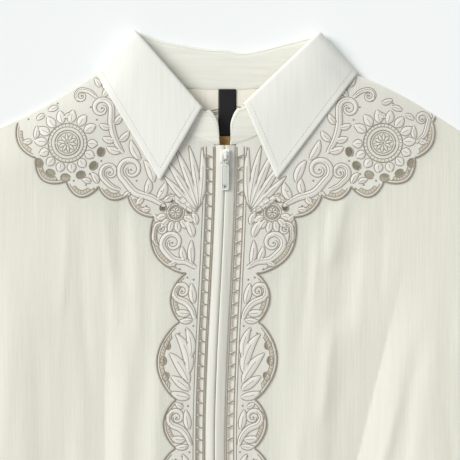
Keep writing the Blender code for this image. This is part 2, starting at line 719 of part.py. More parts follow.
def roll_start(seam, roll, way):
    """Where the fall's roll begins on top of the stand, and the direction out of the stand there."""
    way = way / np.linalg.norm(way)
    out = roll - seam
    out = out - way * np.dot(out, way)
    out = out / np.linalg.norm(out)
    return roll - out * (FALL_TURN + FALL_WALL / 2), out, way


def build_stand(collection, cutters, cotton):
    """The stand: a band from the neck seam to the roll, right round the flattened neck."""
    seams, rolls, _, ways = whole_collar()
    starts = [roll_start(*row) for row in zip(seams, rolls, ways)]
    tops = [start - out * (SEAM_GAP + FALL_LIP) for start, out, _ in starts]
    left, right = stand_ends(LEFT), stand_ends(RIGHT)
    seams = spline([*[s for s, _ in left], *seams, *[s for s, _ in right[::-1]]], 2)
    tops = spline([*[t for _, t in left], *tops, *[t for _, t in right[::-1]]], 2)
    across = (-0.035, 0.5, 1.0)

    def surface(row, column):
        return seams[column] + (tops[column] - seams[column]) * across[row]

    bm = laid_grid(len(across), len(seams), surface)
    stand = new_object("collar_stand", bm, collection, cotton)
    thicken(stand, STAND_WALL).modifiers["Wall"].offset = 0.0
    shares = np.linspace(0.0, 1.0, 13)
    left_neck, right_neck = mirrored(front_neck(LEFT, shares), -1), front_neck(RIGHT, shares)
    front = below_neck([*left_neck[::-1], *right_neck[1:]])
    cut(stand, prism("pattern_front_neck", [front], cutters), "DIFFERENCE")
    left_neck, right_neck = ([(side.sign * x, float(back_neck_y(side, x)))
                              for x in np.linspace(0.0, side.neck_point[0], 9)] for side in (LEFT, RIGHT))
    back = below_neck([*left_neck[::-1], *right_neck[1:]])
    cut(stand, prism("pattern_back_neck", [back], cutters, high=4.4), "DIFFERENCE")


def build_fall(collection, cotton):
    """The fall: from the stand's top edge over the roll and down to its outer edge."""
    seams, rolls, edges, ways = (spline(rows, 2) for rows in whole_collar())
    turns = np.radians((0.0, 40.0, 90.0, 140.0, 180.0))
    shares = (0.2, 0.45, 0.72, 1.0)

    def surface(row, column):
        start, out, way = roll_start(seams[column], rolls[column], ways[column])
        if row < len(turns):
            angle = turns[row]
            return start + out * FALL_TURN * math.sin(angle) + way * FALL_TURN * (1 - math.cos(angle))
        start = start + way * 2 * FALL_TURN
        share = shares[row - len(turns)]
        puff = FALL_PUFF * max(way[2], 0.0) * math.sin(math.pi * share) * (1 - share)
        return start + (edges[column] - start) * share + np.array([0.0, 0.0, puff])

    bm = laid_grid(len(turns) + len(shares), len(seams), surface)
    fall = new_object("collar_fall", bm, collection, cotton)
    thicken(fall, FALL_WALL).modifiers["Wall"].offset = 0.0


def build_zip_tapes(collection, cotton):
    """The two covered edges of the zip, each rolled up a little, side by side from neck to hem."""
    ys = np.linspace(HEM_Y, ZIP_TOP_Y, 12)
    shares = np.linspace(0.0, 1.0, 6)
    for label, side in SIDES.items():

        def surface(row, column, side=side):
            share = shares[column] if side.sign > 0 else 1.0 - shares[column]
            y = ys[row]
            out = SEAM_GAP / 2 + (ZIP_HALF - SEAM_GAP / 2) * share
            x = zip_x(y) + side.sign * out
            base = float(front_top(np.array([side.sign * 12.0]), np.array([y]))[0])
            return x, y, base - TAPE_SINK + TAPE_ROLL * math.sin(math.pi * share) ** 0.8

        bm = laid_grid(len(ys), len(shares), surface)
        thicken(new_object(f"zip_tape_{label}", bm, collection, cotton), TAPE_WALL)


def tape_top():
    """How high the zip's covered edges stand at the slider."""
    return float(front_top(np.array([12.0]), np.array([SLIDER_Y]))[0]) - TAPE_SINK + TAPE_ROLL


def build_slider(collection, cutters, metal):
    """The slider's body, with the bridge that carries the pull tab."""
    width, length, height = SLIDER_SIZE
    bottom = tape_top() + SEAM_GAP
    bm = bmesh.new()
    bmesh.ops.create_cube(bm, size=1.0)
    bmesh.ops.scale(bm, vec=(width * MM, length * MM, height * MM), verts=bm.verts)
    bmesh.ops.bevel(bm, geom=[e for e in bm.edges], offset=0.7 * MM, segments=2, affect="EDGES")
    bmesh.ops.translate(bm, vec=place(zip_x(SLIDER_Y), SLIDER_Y, bottom + height / 2), verts=bm.verts)
    slider = new_object("zip_slider", bm, collection, metal)

    high = BRIDGE_RISE + BRIDGE_WALL
    reach = BRIDGE_REACH + BRIDGE_WALL
    side_view = [(-reach, -0.6), (-reach, high - 1.0), (-reach + 1.0, high), (reach - 1.0, high),
                 (reach, high - 1.0), (reach, -0.6), (BRIDGE_REACH, -0.6), (BRIDGE_REACH, BRIDGE_RISE),
                 (-BRIDGE_REACH, BRIDGE_RISE), (-BRIDGE_REACH, -0.6)]

    def standing(point):
        y, z, x = point
        return place(zip_x(SLIDER_Y) + x, SLIDER_Y + y, bottom + height + z)

    half = BRIDGE_WIDTH / 2
    bridge = new_object("slider_bridge", upright([side_view], -half, half, standing), cutters)
    bridge.hide_render = True
    bridge.display_type = "WIRE"
    cut(slider, bridge, "UNION")
    return bottom + height + BRIDGE_RISE / 2


def rounded_end(half, top, bottom, radius):
    """The pull tab's outline, with its four corners rounded."""
    points = []
    for cx, cy, start in ((half - radius, top - radius, 0), (-half + radius, top - radius, 90),
                          (-half + radius, bottom + radius, 180), (half - radius, bottom + radius, 270)):
        for k in range(5):
            a = math.radians(start + 22.5 * k)
            points.append((cx + radius * math.cos(a), cy + radius * math.sin(a)))
    return points


def build_pull(collection, cutters, plastic, axis_z):
    """The pull tab: a flat drop with an eye at the top, whose bar lies under the slider's bridge."""
    hinge = bpy.data.objects.new("pull_hinge", None)
    collection.objects.link(hinge)
    hinge.location = place(zip_x(SLIDER_Y), SLIDER_Y, axis_z)
    hinge.rotation_euler = (PULL_TILT, 0, 0)
    neck = PULL_EYE_HALF + 1.2
    shoulder_y = -PULL_EYE_END - 1.2
    eye = [p for p in rounded_end(neck, PULL_BAR_HALF, shoulder_y - 4.0, 0.6) if p[1] > shoulder_y]
    tab = rounded_end(PULL_HALF, shoulder_y - 1.6, -PULL_LENGTH, 2.2)
    right_eye, left_eye = [p for p in eye if p[0] > 0], [p for p in eye if p[0] <= 0]
    right_tab, left_tab = [p for p in tab if p[0] > 0], [p for p in tab if p[0] <= 0]
    outline = [*right_eye, *left_eye, (-neck, shoulder_y), *left_tab, *right_tab[5:], *right_tab[:5],
               (neck, shoulder_y)]
    slot = [(PULL_EYE_HALF, -PULL_BAR_HALF), (-PULL_EYE_HALF, -PULL_BAR_HALF),
            (-PULL_EYE_HALF, -PULL_EYE_END), (PULL_EYE_HALF, -PULL_EYE_END)]
    hole = [(1.0 * math.cos(a), -PULL_LENGTH + 3.6 + 1.0 * math.sin(a))
            for a in np.linspace(0, 2 * math.pi, 10, endpoint=False)]
    half = PULL_WALL / 2

    def in_place(point):
        return Vector(point) * MM

    pull = new_object("zip_pull", upright([outline], -half, half, in_place), collection, plastic)
    opened = new_object("pull_openings", upright([slot, hole], -2.0, 2.0, in_place), cutters)
    opened.hide_render = True
    opened.display_type = "WIRE"
    for obj in (pull, opened):
        obj.parent = hinge
    cut(pull, opened, "DIFFERENCE")


def build_label(collection, satin):
    """The neck label: a strip that hangs from the back neck seam over the inside of the back."""
    ys = np.linspace(-0.8, -LABEL_LENGTH, 8)[::-1]

    def surface(row, column):
        x = LABEL_X + LABEL_WIDTH * (column - 0.5)
        return x, ys[row], float(back_lift(0.0, ys[row])) + CLOTH + SEAM_GAP

    bm = laid_grid(len(ys), 2, surface)
    thicken(new_object("neck_label", bm, collection, satin), LABEL_WALL, outward=True)


def main():
    for obj in list(bpy.data.objects):
        bpy.data.objects.remove(obj)
    shirt = bpy.data.collections.new("zip_up_shirt")
    cutters = bpy.data.collections.new("cutters")
    bpy.context.scene.collection.children.link(shirt)
    bpy.context.scene.collection.children.link(cutters)
    cotton = new_material("ivory_cotton", IVORY_COTTON)
    embroidered = new_material("embroidered_cloth", EMBROIDERED_CLOTH)
    build_back(shirt, cutters, cotton)
    build_fronts(shirt, cutters, cotton, embroidered)
    build_sleeves(shirt, cutters, cotton)
    build_stand(shirt, cutters, cotton)
    build_fall(shirt, cotton)
    build_zip_tapes(shirt, cotton)
    axis_z = build_slider(shirt, cutters, new_material("zip_metal", ZIP_METAL))
    build_pull(shirt, cutters, new_material("clear_pull", CLEAR_PULL), axis_z)
    build_label(shirt, new_material("label_satin", LABEL_SATIN))


main()
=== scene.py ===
"""Looks of the zip-up shirt: crinkled ivory cotton, embroidered cutwork fronts, collar, zip and label.

Every cloth piece is a thin sheet on the form of the solid that it stands for. Sizes are pattern
millimetres: x to the wearer's left, which is the right of the picture, y up from the centre back neck
seam, and z up from the surface. The last step of making a mesh turns them into metres in the frame.
"""

from __future__ import annotations

import logging
import math
from dataclasses import dataclass, field, replace
from enum import Enum
from typing import Callable, Sequence

import bmesh
import bpy
import numpy as np
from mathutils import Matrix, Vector
from mathutils.geometry import delaunay_2d_cdt

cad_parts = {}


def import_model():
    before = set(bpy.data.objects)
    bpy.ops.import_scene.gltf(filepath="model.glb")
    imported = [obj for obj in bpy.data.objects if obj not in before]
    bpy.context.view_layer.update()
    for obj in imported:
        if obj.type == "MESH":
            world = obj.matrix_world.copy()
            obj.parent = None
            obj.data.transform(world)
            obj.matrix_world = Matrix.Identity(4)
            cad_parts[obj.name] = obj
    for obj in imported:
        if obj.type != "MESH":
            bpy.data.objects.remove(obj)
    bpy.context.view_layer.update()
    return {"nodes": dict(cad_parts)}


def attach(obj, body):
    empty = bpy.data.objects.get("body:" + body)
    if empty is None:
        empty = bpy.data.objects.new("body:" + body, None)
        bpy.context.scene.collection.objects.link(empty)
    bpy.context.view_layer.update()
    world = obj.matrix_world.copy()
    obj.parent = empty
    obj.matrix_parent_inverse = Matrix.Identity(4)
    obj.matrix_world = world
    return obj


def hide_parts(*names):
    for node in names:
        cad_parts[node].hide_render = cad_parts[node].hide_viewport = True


log = logging.getLogger("shirt")

Array = np.ndarray
Point = tuple[float, float]
Height = Callable[[Array, Array], Array]

MM = 0.001
NECK_SEAM_Y = 266.0  # from the frame's origin up to the centre back neck seam
BODY = "shirt"
WAVE = 0.314  # the scale at which a wave texture has one band a unit


def smooth(t: Array) -> Array:
    """An S curve, 3t² - 2t³, from 0 to 1 as t goes from 0 to 1, flat beyond."""
    t = np.clip(t, 0.0, 1.0)
    return t * t * (3.0 - 2.0 * t)


def bezier(start: Point, handles: Sequence[Point], end: Point, t: Array) -> Array:
    """Points on a cubic curve: each of the four points weighted by its Bernstein polynomial in t.

    Args:
        start: The first end.
        handles: The two handles.
        end: The other end.
        t: Where to read it, from 0 to 1.

    Returns:
        A point for each t.
    """
    t = np.atleast_1d(np.asarray(t, float))[:, None]
    p = [np.array(q, float) for q in (start, *handles, end)]
    return (1 - t) ** 3 * p[0] + 3 * (1 - t) ** 2 * t * p[1] + 3 * (1 - t) * t**2 * p[2] + t**3 * p[3]


def through(points: Sequence, at: Array) -> Array:
    """A smooth row through points, a Catmull-Rom cubic between each two.

    Args:
        points: The points, of any number of coordinates.
        at: Where to read the row, from 0 at the first point to 1 at the last, one step a point.

    Returns:
        One point for each value of at.
    """
    p = np.array(points, float)
    p = np.vstack([2 * p[0] - p[1], p, 2 * p[-1] - p[-2]])
    where = np.clip(np.asarray(at, float), 0.0, 1.0) * (len(p) - 3)
    i = np.minimum(where.astype(int), len(p) - 4) + 1
    t = (where - (i - 1))[:, None]
    a, b, c, d = p[i - 1], p[i], p[i + 1], p[i + 2]
    return 0.5 * (2 * b + (c - a) * t + (2 * a - 5 * b + 4 * c - d) * t**2 + (3 * b - a - 3 * c + d) * t**3)


def curve(points: Sequence[Point], steps: int = 8) -> Array:
    """The smooth row through points, with that many steps between each two."""
    return through(points, np.linspace(0.0, 1.0, (len(points) - 1) * steps + 1))


def resampled(path: Array, step: float, closed: bool = False) -> Array:
    """The path again with its points evenly about one step apart, measured along it.

    Args:
        path: Its points.
        step: The space between two points.
        closed: Whether the last meets the first.

    Returns:
        The new points.
    """
    path = np.asarray(path, float)
    if closed:
        path = np.vstack([path, path[:1]])
    run = np.concatenate([[0.0], np.cumsum(np.linalg.norm(np.diff(path, axis=0), axis=1))])
    count = max(int(round(run[-1] / step)), 2)
    at = np.linspace(0.0, run[-1], count + 1)
    even = np.stack([np.interp(at, run, path[:, k]) for k in range(path.shape[1])], axis=1)
    return even[:-1] if closed else even


def sideways(path: Array) -> Array:
    """The unit direction to the left of a plan path at each of its points.

    Args:
        path: The plan path.

    Returns:
        A direction for each point.
    """
    along = np.gradient(path, axis=0)
    along = along / np.maximum(np.linalg.norm(along, axis=1), 1e-9)[:, None]
    return np.stack([-along[:, 1], along[:, 0]], axis=1)


def inside(points: Array, loop: Array) -> Array:
    """Whether each point is inside a closed loop: an upward ray crosses it an odd number of times.

    Args:
        points: Plan points.
        loop: The loop's points.

    Returns:
        True for each point inside.
    """
    x, y = points[:, 0], points[:, 1]
    odd = np.zeros(len(points), bool)
    for (ax, ay), (bx, by) in zip(loop, np.roll(loop, -1, axis=0)):
        if ax != bx:
            across = (ax > x) != (bx > x)
            odd ^= across & (y < (by - ay) * (x - ax) / (bx - ax) + ay)
    return odd


def outline_area(loop: Array) -> float:
    """The area inside a closed loop, half the sum of its points' cross products."""
    nxt = np.roll(loop, -1, axis=0)
    return float(abs(np.sum(loop[:, 0] * nxt[:, 1] - nxt[:, 0] * loop[:, 1])) / 2)


def rectangle(width: float, length: float) -> Array:
    """The corners of a rectangular cut."""
    return np.array([(0.0, 0.0), (width, 0.0), (width, length), (0.0, length)])


def grid_quads(rows: int, columns: int, around: bool = False) -> Array:
    """The quads of a grid of points kept row by row, whose last column meets the first with around.

    Args:
        rows: How many rows.
        columns: How many points a row has.
        around: Whether it closes.

    Returns:
        Rows of four point numbers.
    """
    r, c = np.meshgrid(np.arange(rows - 1), np.arange(columns if around else columns - 1), indexing="ij")
    n = (c + 1) % columns
    return np.stack([r * columns + c, r * columns + n, (r + 1) * columns + n, (r + 1) * columns + c],
                    axis=-1).reshape(-1, 4)


@dataclass(frozen=True)
class NeckSide:
    """The places of one side's neck and collar corners, all given as on the right of the picture."""

    sign: int
    neck_point: Point
    shoulder_mid: Point
    roll_corner: Point
    fall_corner: Point
    fall_point: Point
    fall_front: Point
    stand_end: Point


LEFT = NeckSide(-1, (100.0, 27.0), (174.0, -18.5), (83.4, 54.4), (122.5, 16.0), (60.8, -87.0),
                (20.0, -18.5), (4.6, -53.6))
RIGHT = NeckSide(1, (103.0, 23.0), (172.0, -8.0), (88.3, 51.9), (127.0, 15.0), (50.4, -85.5),
                 (18.0, -14.8), (6.4, -53.6))
SIDES = {"left": LEFT, "right": RIGHT}


def facing(faces: Array, side: NeckSide) -> Array:
    """The faces of a surface that is made for the right side, turned over on the left."""
    return faces if side.sign > 0 else faces[:, ::-1]


@dataclass(frozen=True)
class Fold:
    """A fold of the fronts, from its top to its bottom.

    When creased it falls slowly to a sharp bend from its -x side and rises faster to a ridge on its +x
    side. If not, it is a soft ridge, or a trough when lift is below 0. bow moves its middle sideways.
    """

    x_top: float
    y_top: float
    x_bottom: float
    y_bottom: float
    lift: float
    width: float
    bow: float = 0.0
    creased: bool = False

    def height(self, x: Array, y: Array) -> Array:
        """What the fold adds: lift times exp(-r²), r the widths across it, fading at both ends.

        A creased fold has -0.8 e^1.1r on its -x side, and a steep step up that fades on its +x side.

        Args:
            x: The points' x.
            y: The points' y.

        Returns:
            The height to add at each point.
        """
        t = (self.y_top - y) / (self.y_top - self.y_bottom)
        along = np.clip(t, 0, 1)
        across = x - self.x_top - (self.x_bottom - self.x_top) * along - self.bow * np.sin(math.pi * along)
        r = across / self.width
        swell = np.exp(-(r**2))
        if self.creased:
            rise = (1.5 * np.tanh(1.5 * np.maximum(r, 0.0)) - 0.8) * np.exp(-((r / 1.9) ** 2))
            swell = np.where(r < 0, -0.8 * np.exp(1.1 * np.minimum(r, 0.0)), rise)
        return self.lift * swell * smooth(t / 0.35) * smooth((1.0 - t) / 0.3)


MAIN_FOLDS = tuple(Fold(*row) for row in (
    (-112, -150, -116, -570, 4.8, 42, 0, True), (-76, -215, -84, -420, -2.6, 11),
    (-99, -85, -95, -205, -1.8, 9), (-194, -100, -206, -560, 4.2, 32),
    (-160, -300, -150, -585, -2.4, 15), (178, -145, 84, -530, 5.2, 44, 0, True),
    (117, -92, 98, -180, 2.2, 7), (127, -130, 108, -240, -2.2, 14),
    (104, -215, 92, -330, 1.8, 6), (192, -215, 156, -400, -2.2, 9),
    (205, -330, 190, -585, 2.6, 20), (90, -175, 80, -585, 3, 27)))

SOFT_FOLDS = tuple(Fold(*row) for row in (
    (-150, -96, -158, -232, 0.9, 5, 3), (-133, -100, -128, -300, -0.8, 6, -3),
    (-118, -98, -104, -246, 0.7, 4.5, 4), (-88, -110, -82, -260, 0.8, 5, 2),
    (-70, -140, -70, -330, -0.6, 6.5, -3), (-64, -250, -72, -400, 0.9, 6, 3),
    (-92, -260, -96, -420, 1, 7, -4), (-138, -230, -146, -500, 0.9, 8, 5),
    (-176, -190, -168, -470, -1.1, 9, -4), (-205, -150, -222, -420, 1, 9, 6),
    (-236, -270, -226, -560, -1, 10, -5), (-60, -420, -58, -588, 1.2, 9),
    (-94, -470, -88, -592, -1.2, 9, 3), (-196, -430, -204, -592, 1.3, 11),
    (64, -150, 60, -300, 0.8, 6, -2), (80, -128, 70, -262, -0.7, 5, 3),
    (90, -112, 82, -215, 0.7, 4, 2), (106, -104, 96, -160, 0.8, 3.6),
    (140, -100, 128, -260, 0.7, 6, -4), (152, -98, 146, -210, -0.6, 5, 2),
    (70, -300, 58, -470, 1, 7, 4), (118, -250, 104, -380, -0.9, 8, -3),
    (172, -268, 128, -430, 1.1, 5, 3), (183, -286, 150, -470, -0.9, 5.5, 2),
    (170, -330, 136, -500, 0.8, 4), (214, -160, 226, -430, -1, 9, -6),
    (240, -290, 232, -560, 1, 9, 5), (116, -440, 104, -592, 1.2, 9),
    (160, -470, 166, -592, -1.3, 11, 3), (40, -470, 46, -592, 0.9, 7)))


@dataclass(frozen=True)
class Lobe:
    """A corner of the cutwork's edge, out from the zip, and the swell of the lobe that ends there."""

    out: float
    y: float
    swell: float


@dataclass(frozen=True)
class Petals:
    """A ring of petal-shaped gaps round a rosette."""

    out: float
    y: float
    ring: float
    start: float
    turn: float
    count: int
    length: float
    width: float


@dataclass(frozen=True)
class Cut:
    """The shirt's pattern: its seams, edges and the height of its puffed fronts, in millimetres."""

    hem_y: float = -590.0
    front_neck_y: float = -54.0
    shoulder_tip: Point = (235.0, -47.0)
    underarm: Point = (262.0, -265.0)
    hem_side_x: float = 268.0
    armhole_handles: tuple[Point, Point] = ((226.0, -120.0), (238.0, -212.0))
    front_neck_handles: tuple[Point, Point] = ((38.0, -54.0), (72.0, -18.0))
    wall: float = 1.2
    seam_gap: float = 0.3
    front_height: float = 13.0
    hem_height: float = 9.5
    hem_ease: float = 150.0
    side_drop: tuple[float, float, float] = (2.0, 150.0, 110.0)
    closed_edge_height: float = 2.85
    edge_rounding: float = 46.0
    overshoot: float = 12.0
    collar_lift: float = 2.1
    lift_y: tuple[float, float] = (-44.0, 26.0)
    lift_x: tuple[float, float] = (192.0, 60.0)
    lift_taken_up: float = 0.75
    zip_top_x: float = 1.0
    zip_lean: float = -10.0
    zip_lean_y: tuple[float, float] = (-59.0, -340.0)
    zip_top_y: float = -54.2
    zip_half: float = 9.5
    proud: float = 0.6
    back_neck_power: float = 3.2
    back_neck_drop: float = 0.5
    past_neck_y: float = 70.0
    past_zip: float = -4.0
    lobe_power: float = 0.75
    ladder_out: float = 14.6
    ladder_gap: tuple[float, float] = (5.4, 10.4)
    ladder_pitch: float = 11.7
    ladder_from: float = -65.2
    yoke_lobes: tuple[Lobe, ...] = (
        Lobe(66.0, -122.0, 17.0), Lobe(92.0, -101.0, 7.0), Lobe(120.0, -93.0, 9.0),
        Lobe(151.0, -88.0, 13.0), Lobe(180.0, -66.0, 13.0), Lobe(198.0, -32.0, 9.0),
        Lobe(204.0, 10.0, 4.0))
    placket_top: Lobe = Lobe(33.0, -176.0, 0.0)
    placket_lobes: tuple[tuple[float, float], ...] = ((46.0, 12.0), (74.0, 20.0))
    placket_out: float = 37.0
    petals: tuple[Petals, ...] = (
        Petals(150.0, -52.0, 33.0, -165.0, 26.0, 6, 8.0, 6.2),
        Petals(46.0, -118.0, 13.0, 20.0, 50.0, 4, 6.4, 5.0))
    lobe_gap: tuple[float, float] = (7.4, 5.0)
    lobe_gap_at: tuple[float, ...] = (0.3, 0.5, 0.7)
    lobe_gap_inset: float = 6.2

    def zip_x(self, y: Array) -> Array:
        """The zip's centre line, which leans to one side on the way down by an S curve."""
        start, end = self.zip_lean_y
        return self.zip_top_x + self.zip_lean * smooth((start - y) / (start - end))

    def plan(self, side: NeckSide, panel: Array) -> Array:
        """Panel points, measured out from the zip, as plan points."""
        panel = np.asarray(panel, float)
        return np.stack([self.zip_x(panel[:, 1]) + side.sign * panel[:, 0], panel[:, 1]], axis=1)

    def shoulder(self, side: NeckSide, steps: int = 4) -> Array:
        """The shoulder seam from the neck to the tip, given as on the right."""
        return curve([side.neck_point, side.shoulder_mid, self.shoulder_tip], steps)

    def armhole(self, t: Array) -> Array:
        """The armhole from the shoulder tip to the underarm, given as on the right."""
        return bezier(self.shoulder_tip, self.armhole_handles, self.underarm, t)

    def front_neck(self, side: NeckSide, t: Array) -> Array:
        """The front neckline from the zip to the neck point, given as on the right."""
        return bezier((0.0, self.front_neck_y), self.front_neck_handles, side.neck_point, t)

    def back_neck_y(self, side: NeckSide, x: Array) -> Array:
        """The back neckline: straight in the middle, up to the neck point by a power of x."""
        share = np.abs(x) / side.neck_point[0]
        return side.neck_point[1] * share**self.back_neck_power - self.back_neck_drop

    def closed_edges(self, side: NeckSide) -> list[Array]:
        """The shoulder and the side seam, where the front comes down to the back."""
        return [self.shoulder(side), np.array([self.underarm, (self.hem_side_x, self.hem_y)])]

    def inside_by(self, x: Array, y: Array, line: Array) -> Array:
        """How far each point is inside a line, which has the outside on its left; less than 0 outside.

        Args:
            x: The points' x.
            y: The points' y.
            line: The line's points.

        Returns:
            The distance of each point.
        """
        best = np.full(np.shape(x), np.inf)
        for (ax, ay), (bx, by) in zip(line[:-1], line[1:]):
            dx, dy = bx - ax, by - ay
            t = ((x - ax) * dx + (y - ay) * dy) / (dx * dx + dy * dy)
            outside = (dx * (y - ay) - dy * (x - ax) > 0) & (t > 0) & (t < 1)
            t = np.clip(t, 0, 1)
            reach = np.hypot(x - ax - t * dx, y - ay - t * dy) * np.where(outside, -1.0, 1.0)
            best = np.where(np.abs(reach) < np.abs(best), reach, best)
        return np.maximum(best, -self.overshoot)

    def back_lift(self, x: Array, y: Array) -> Array:
        """How far the back rides up over the fall that lies under it near the neck."""
        near_collar = smooth((y - self.lift_y[0]) / self.lift_y[1])
        return self.collar_lift * near_collar * smooth((self.lift_x[0] - np.abs(x)) / self.lift_x[1])

    def front_top(self, side: NeckSide, x: Array, y: Array, finely: bool = True) -> Array:
        """The outer surface of the front: a cushion that falls by a quarter sine to its closed edges.

        Args:
            side: The side that the points are on.
            x: The points' x.
            y: The points' y.
            finely: Adds the soft folds to the main ones.

        Returns:
            The height of each point.
        """
        x, y = np.asarray(x, float), np.asarray(y, float)
        x_out = np.abs(x)
        near = np.full(np.shape(x), np.inf)
        for line in self.closed_edges(side):
            near = np.minimum(near, self.inside_by(x_out, y, line))
        rounding = np.sin(0.5 * math.pi * np.minimum(near / self.edge_rounding, 1))
        drop, drop_from, drop_over = self.side_drop
        rise = (self.front_height - self.hem_height) * smooth((y - self.hem_y) / self.hem_ease)
        middle = self.hem_height + rise - drop * smooth((x_out - drop_from) / drop_over)
        folds = sum(f.height(x, y) for f in (*MAIN_FOLDS, *(SOFT_FOLDS if finely else ())))
        lift = self.back_lift(x, y)
        full = middle + folds - self.closed_edge_height - self.lift_taken_up * lift
        return self.closed_edge_height + lift + full * rounding

    def front_outline(self, side: NeckSide) -> Array:
        """One front's edge, from the zip round the neck, shoulder, armhole, side and hem.

        Args:
            side: The side.

        Returns:
            The closed edge in plan.
        """
        neck = self.front_neck(side, np.linspace(0.0, 1.0, 25))[3:]
        armhole = self.armhole(np.linspace(0.0, 1.0, 25))[1:]
        edge = np.vstack([neck, self.shoulder(side, 8)[1:], armhole, [(self.hem_side_x, self.hem_y)]])
        ys = np.linspace(self.hem_y, self.front_neck_y + 0.1, 40)
        zip_edge = np.stack([self.zip_x(ys) + side.sign * (self.zip_half + self.seam_gap), ys], axis=1)
        return np.vstack([edge * (side.sign, 1.0), zip_edge])

    def lobe_arc(self, start: Point, end: Point, swell: float, steps: int = 20) -> Array:
        """Points along a lobe after its start: a half sine to lobe_power, swelling to its right.

        Args:
            start: Where the lobe starts.
            end: Where it ends.
            swell: How far it swells.
            steps: How many points.

        Returns:
            The points.
        """
        a, b = np.array(start, float), np.array(end, float)
        along = b - a
        out = np.array([along[1], -along[0]]) / np.linalg.norm(along)
        t = np.linspace(0, 1, steps + 1)[1:, None]
        return a + along * t + out * swell * np.sin(math.pi * np.clip(t, 0, 1 - 1e-9)) ** self.lobe_power

    def placket_corners(self) -> list[Lobe]:
        """The corners down the placket, from under the yoke to past the hem.

        Returns:
            The corners, from the top.
        """
        corners = [self.placket_top]
        y, turn = self.placket_top.y, 0
        while y > self.hem_y - 10.0:
            length, swell = self.placket_lobes[turn % 2]
            y, turn = y - length, turn + 1
            corners.append(Lobe(self.placket_out, y, swell))
        return corners

    def cutwork_lobes(self) -> list[Array]:
        """The lobes of the cutwork's edge in panel coordinates, from below the hem to the shoulder.

        Returns:
            The points of each lobe.
        """
        corners = self.placket_corners()[::-1]
        lobes = [np.vstack([[(a.out, a.y)], self.lobe_arc((a.out, a.y), (b.out, b.y), a.swell)])
                 for a, b in zip(corners[:-1], corners[1:])]
        last = self.placket_top
        for c in self.yoke_lobes:
            lobes.append(np.vstack([[(last.out, last.y)],
                                    self.lobe_arc((last.out, last.y), (c.out, c.y), c.swell)]))
            last = c
        return lobes

    def cutwork_outline(self, side: NeckSide) -> Array:
        """The edge of the cutwork, reaching past the panel at the zip, neck, shoulder and hem.

        Args:
            side: The side.

        Returns:
            The closed edge in plan.
        """
        lobes = self.cutwork_lobes()
        low = lobes[0][0, 1]
        edge = np.vstack([lobes[0][:1], *[lobe[1:] for lobe in lobes],
                          [(self.yoke_lobes[-1].out, self.past_neck_y),
                           (self.past_zip, self.past_neck_y), (self.past_zip, low)]])
        return self.plan(side, edge)

    def oval(self, centre: Point, length: float, width: float, turn: float, corners: int = 16) -> Array:
        """An ellipse whose length runs along turn, in degrees.

        Args:
            centre: Its centre.
            length: Its length.
            width: The width.
            turn: Its length's heading.
            corners: How many points.

        Returns:
            The points.
        """
        a = math.radians(turn)
        t = np.linspace(0, 2 * math.pi, corners, endpoint=False)
        u, v = 0.5 * length * np.cos(t), 0.5 * width * np.sin(t)
        return np.stack([centre[0] + u * math.cos(a) - v * math.sin(a),
                         centre[1] + u * math.sin(a) + v * math.cos(a)], axis=1)

    def ladder_gaps(self, side: NeckSide) -> list[Array]:
        """The ladder's openings beside the zip, as plan outlines.

        Args:
            side: The side.

        Returns:
            The corners of each opening.
        """
        gaps, y = [], self.ladder_from
        width, height = self.ladder_gap
        while y - height > self.hem_y + 8.0:
            x = float(self.zip_x(np.array(y))) + side.sign * self.ladder_out
            gaps.append(np.array([(x - width / 2, y - height), (x + width / 2, y - height),
                                  (x + width / 2, y), (x - width / 2, y)]))
            y -= self.ladder_pitch
        return gaps

    def eyelets(self, side: NeckSide) -> list[Array]:
        """The petal gaps round the rosettes and the gaps in the long lobes, as plan outlines.

        Args:
            side: The side.

        Returns:
            The points round each opening.
        """
        gaps = []
        for group in self.petals:
            for k in range(group.count):
                angle = group.start + k * group.turn
                out = group.out + group.ring * math.cos(math.radians(angle))
                y = group.y + group.ring * math.sin(math.radians(angle))
                x = float(self.zip_x(np.array(y))) + side.sign * out
                gaps.append(self.oval((x, y), group.length, group.width, (angle + 90.0) * side.sign))
        corners = self.placket_corners()
        deepest = max(swell for _, swell in self.placket_lobes)
        for above, below in zip(corners[:-1], corners[1:]):
            if below.swell < deepest or below.y < self.hem_y + 4.0:
                continue
            for t in self.lobe_gap_at:
                y = above.y + (below.y - above.y) * t
                swell = below.swell * math.sin(math.pi * t) ** self.lobe_power
                out = self.placket_out + swell - self.lobe_gap_inset
                slope = math.degrees(math.atan2(t - 0.5, 0.62)) * side.sign
                x = float(self.zip_x(np.array(y))) + side.sign * out
                gaps.append(self.oval((x, y), self.lobe_gap[0], self.lobe_gap[1], 90.0 + slope))
        return gaps


CUT = Cut()


def linear(code: str) -> tuple[float, float, float, float]:
    """An sRGB hex colour as the linear colour that a shader takes.

    Args:
        code: The colour, as #rrggbb.

    Returns:
        Red, green, blue and alpha.
    """
    parts = [int(code[k:k + 2], 16) / 255 for k in (1, 3, 5)]
    turned = [c / 12.92 if c <= 0.04045 else ((c + 0.055) / 1.055) ** 2.4 for c in parts]
    return (*turned, 1.0)


def add_node(tree: bpy.types.NodeTree, kind: str, inputs: dict | None = None,
             **settings: object) -> bpy.types.Node:
    """Adds a node with its settings; an input is a value, or a socket that is linked to it.

    Args:
        tree: The material's tree.
        kind: The node's type.
        inputs: Values and sockets by the input's name.
        settings: The node's own settings.

    Returns:
        The node.
    """
    node = tree.nodes.new(kind)
    for name, value in settings.items():
        setattr(node, name, value)
    for name, value in (inputs or {}).items():
        if isinstance(value, bpy.types.NodeSocket):
            tree.links.new(value, node.inputs[name])
        else:
            node.inputs[name].default_value = value
    return node


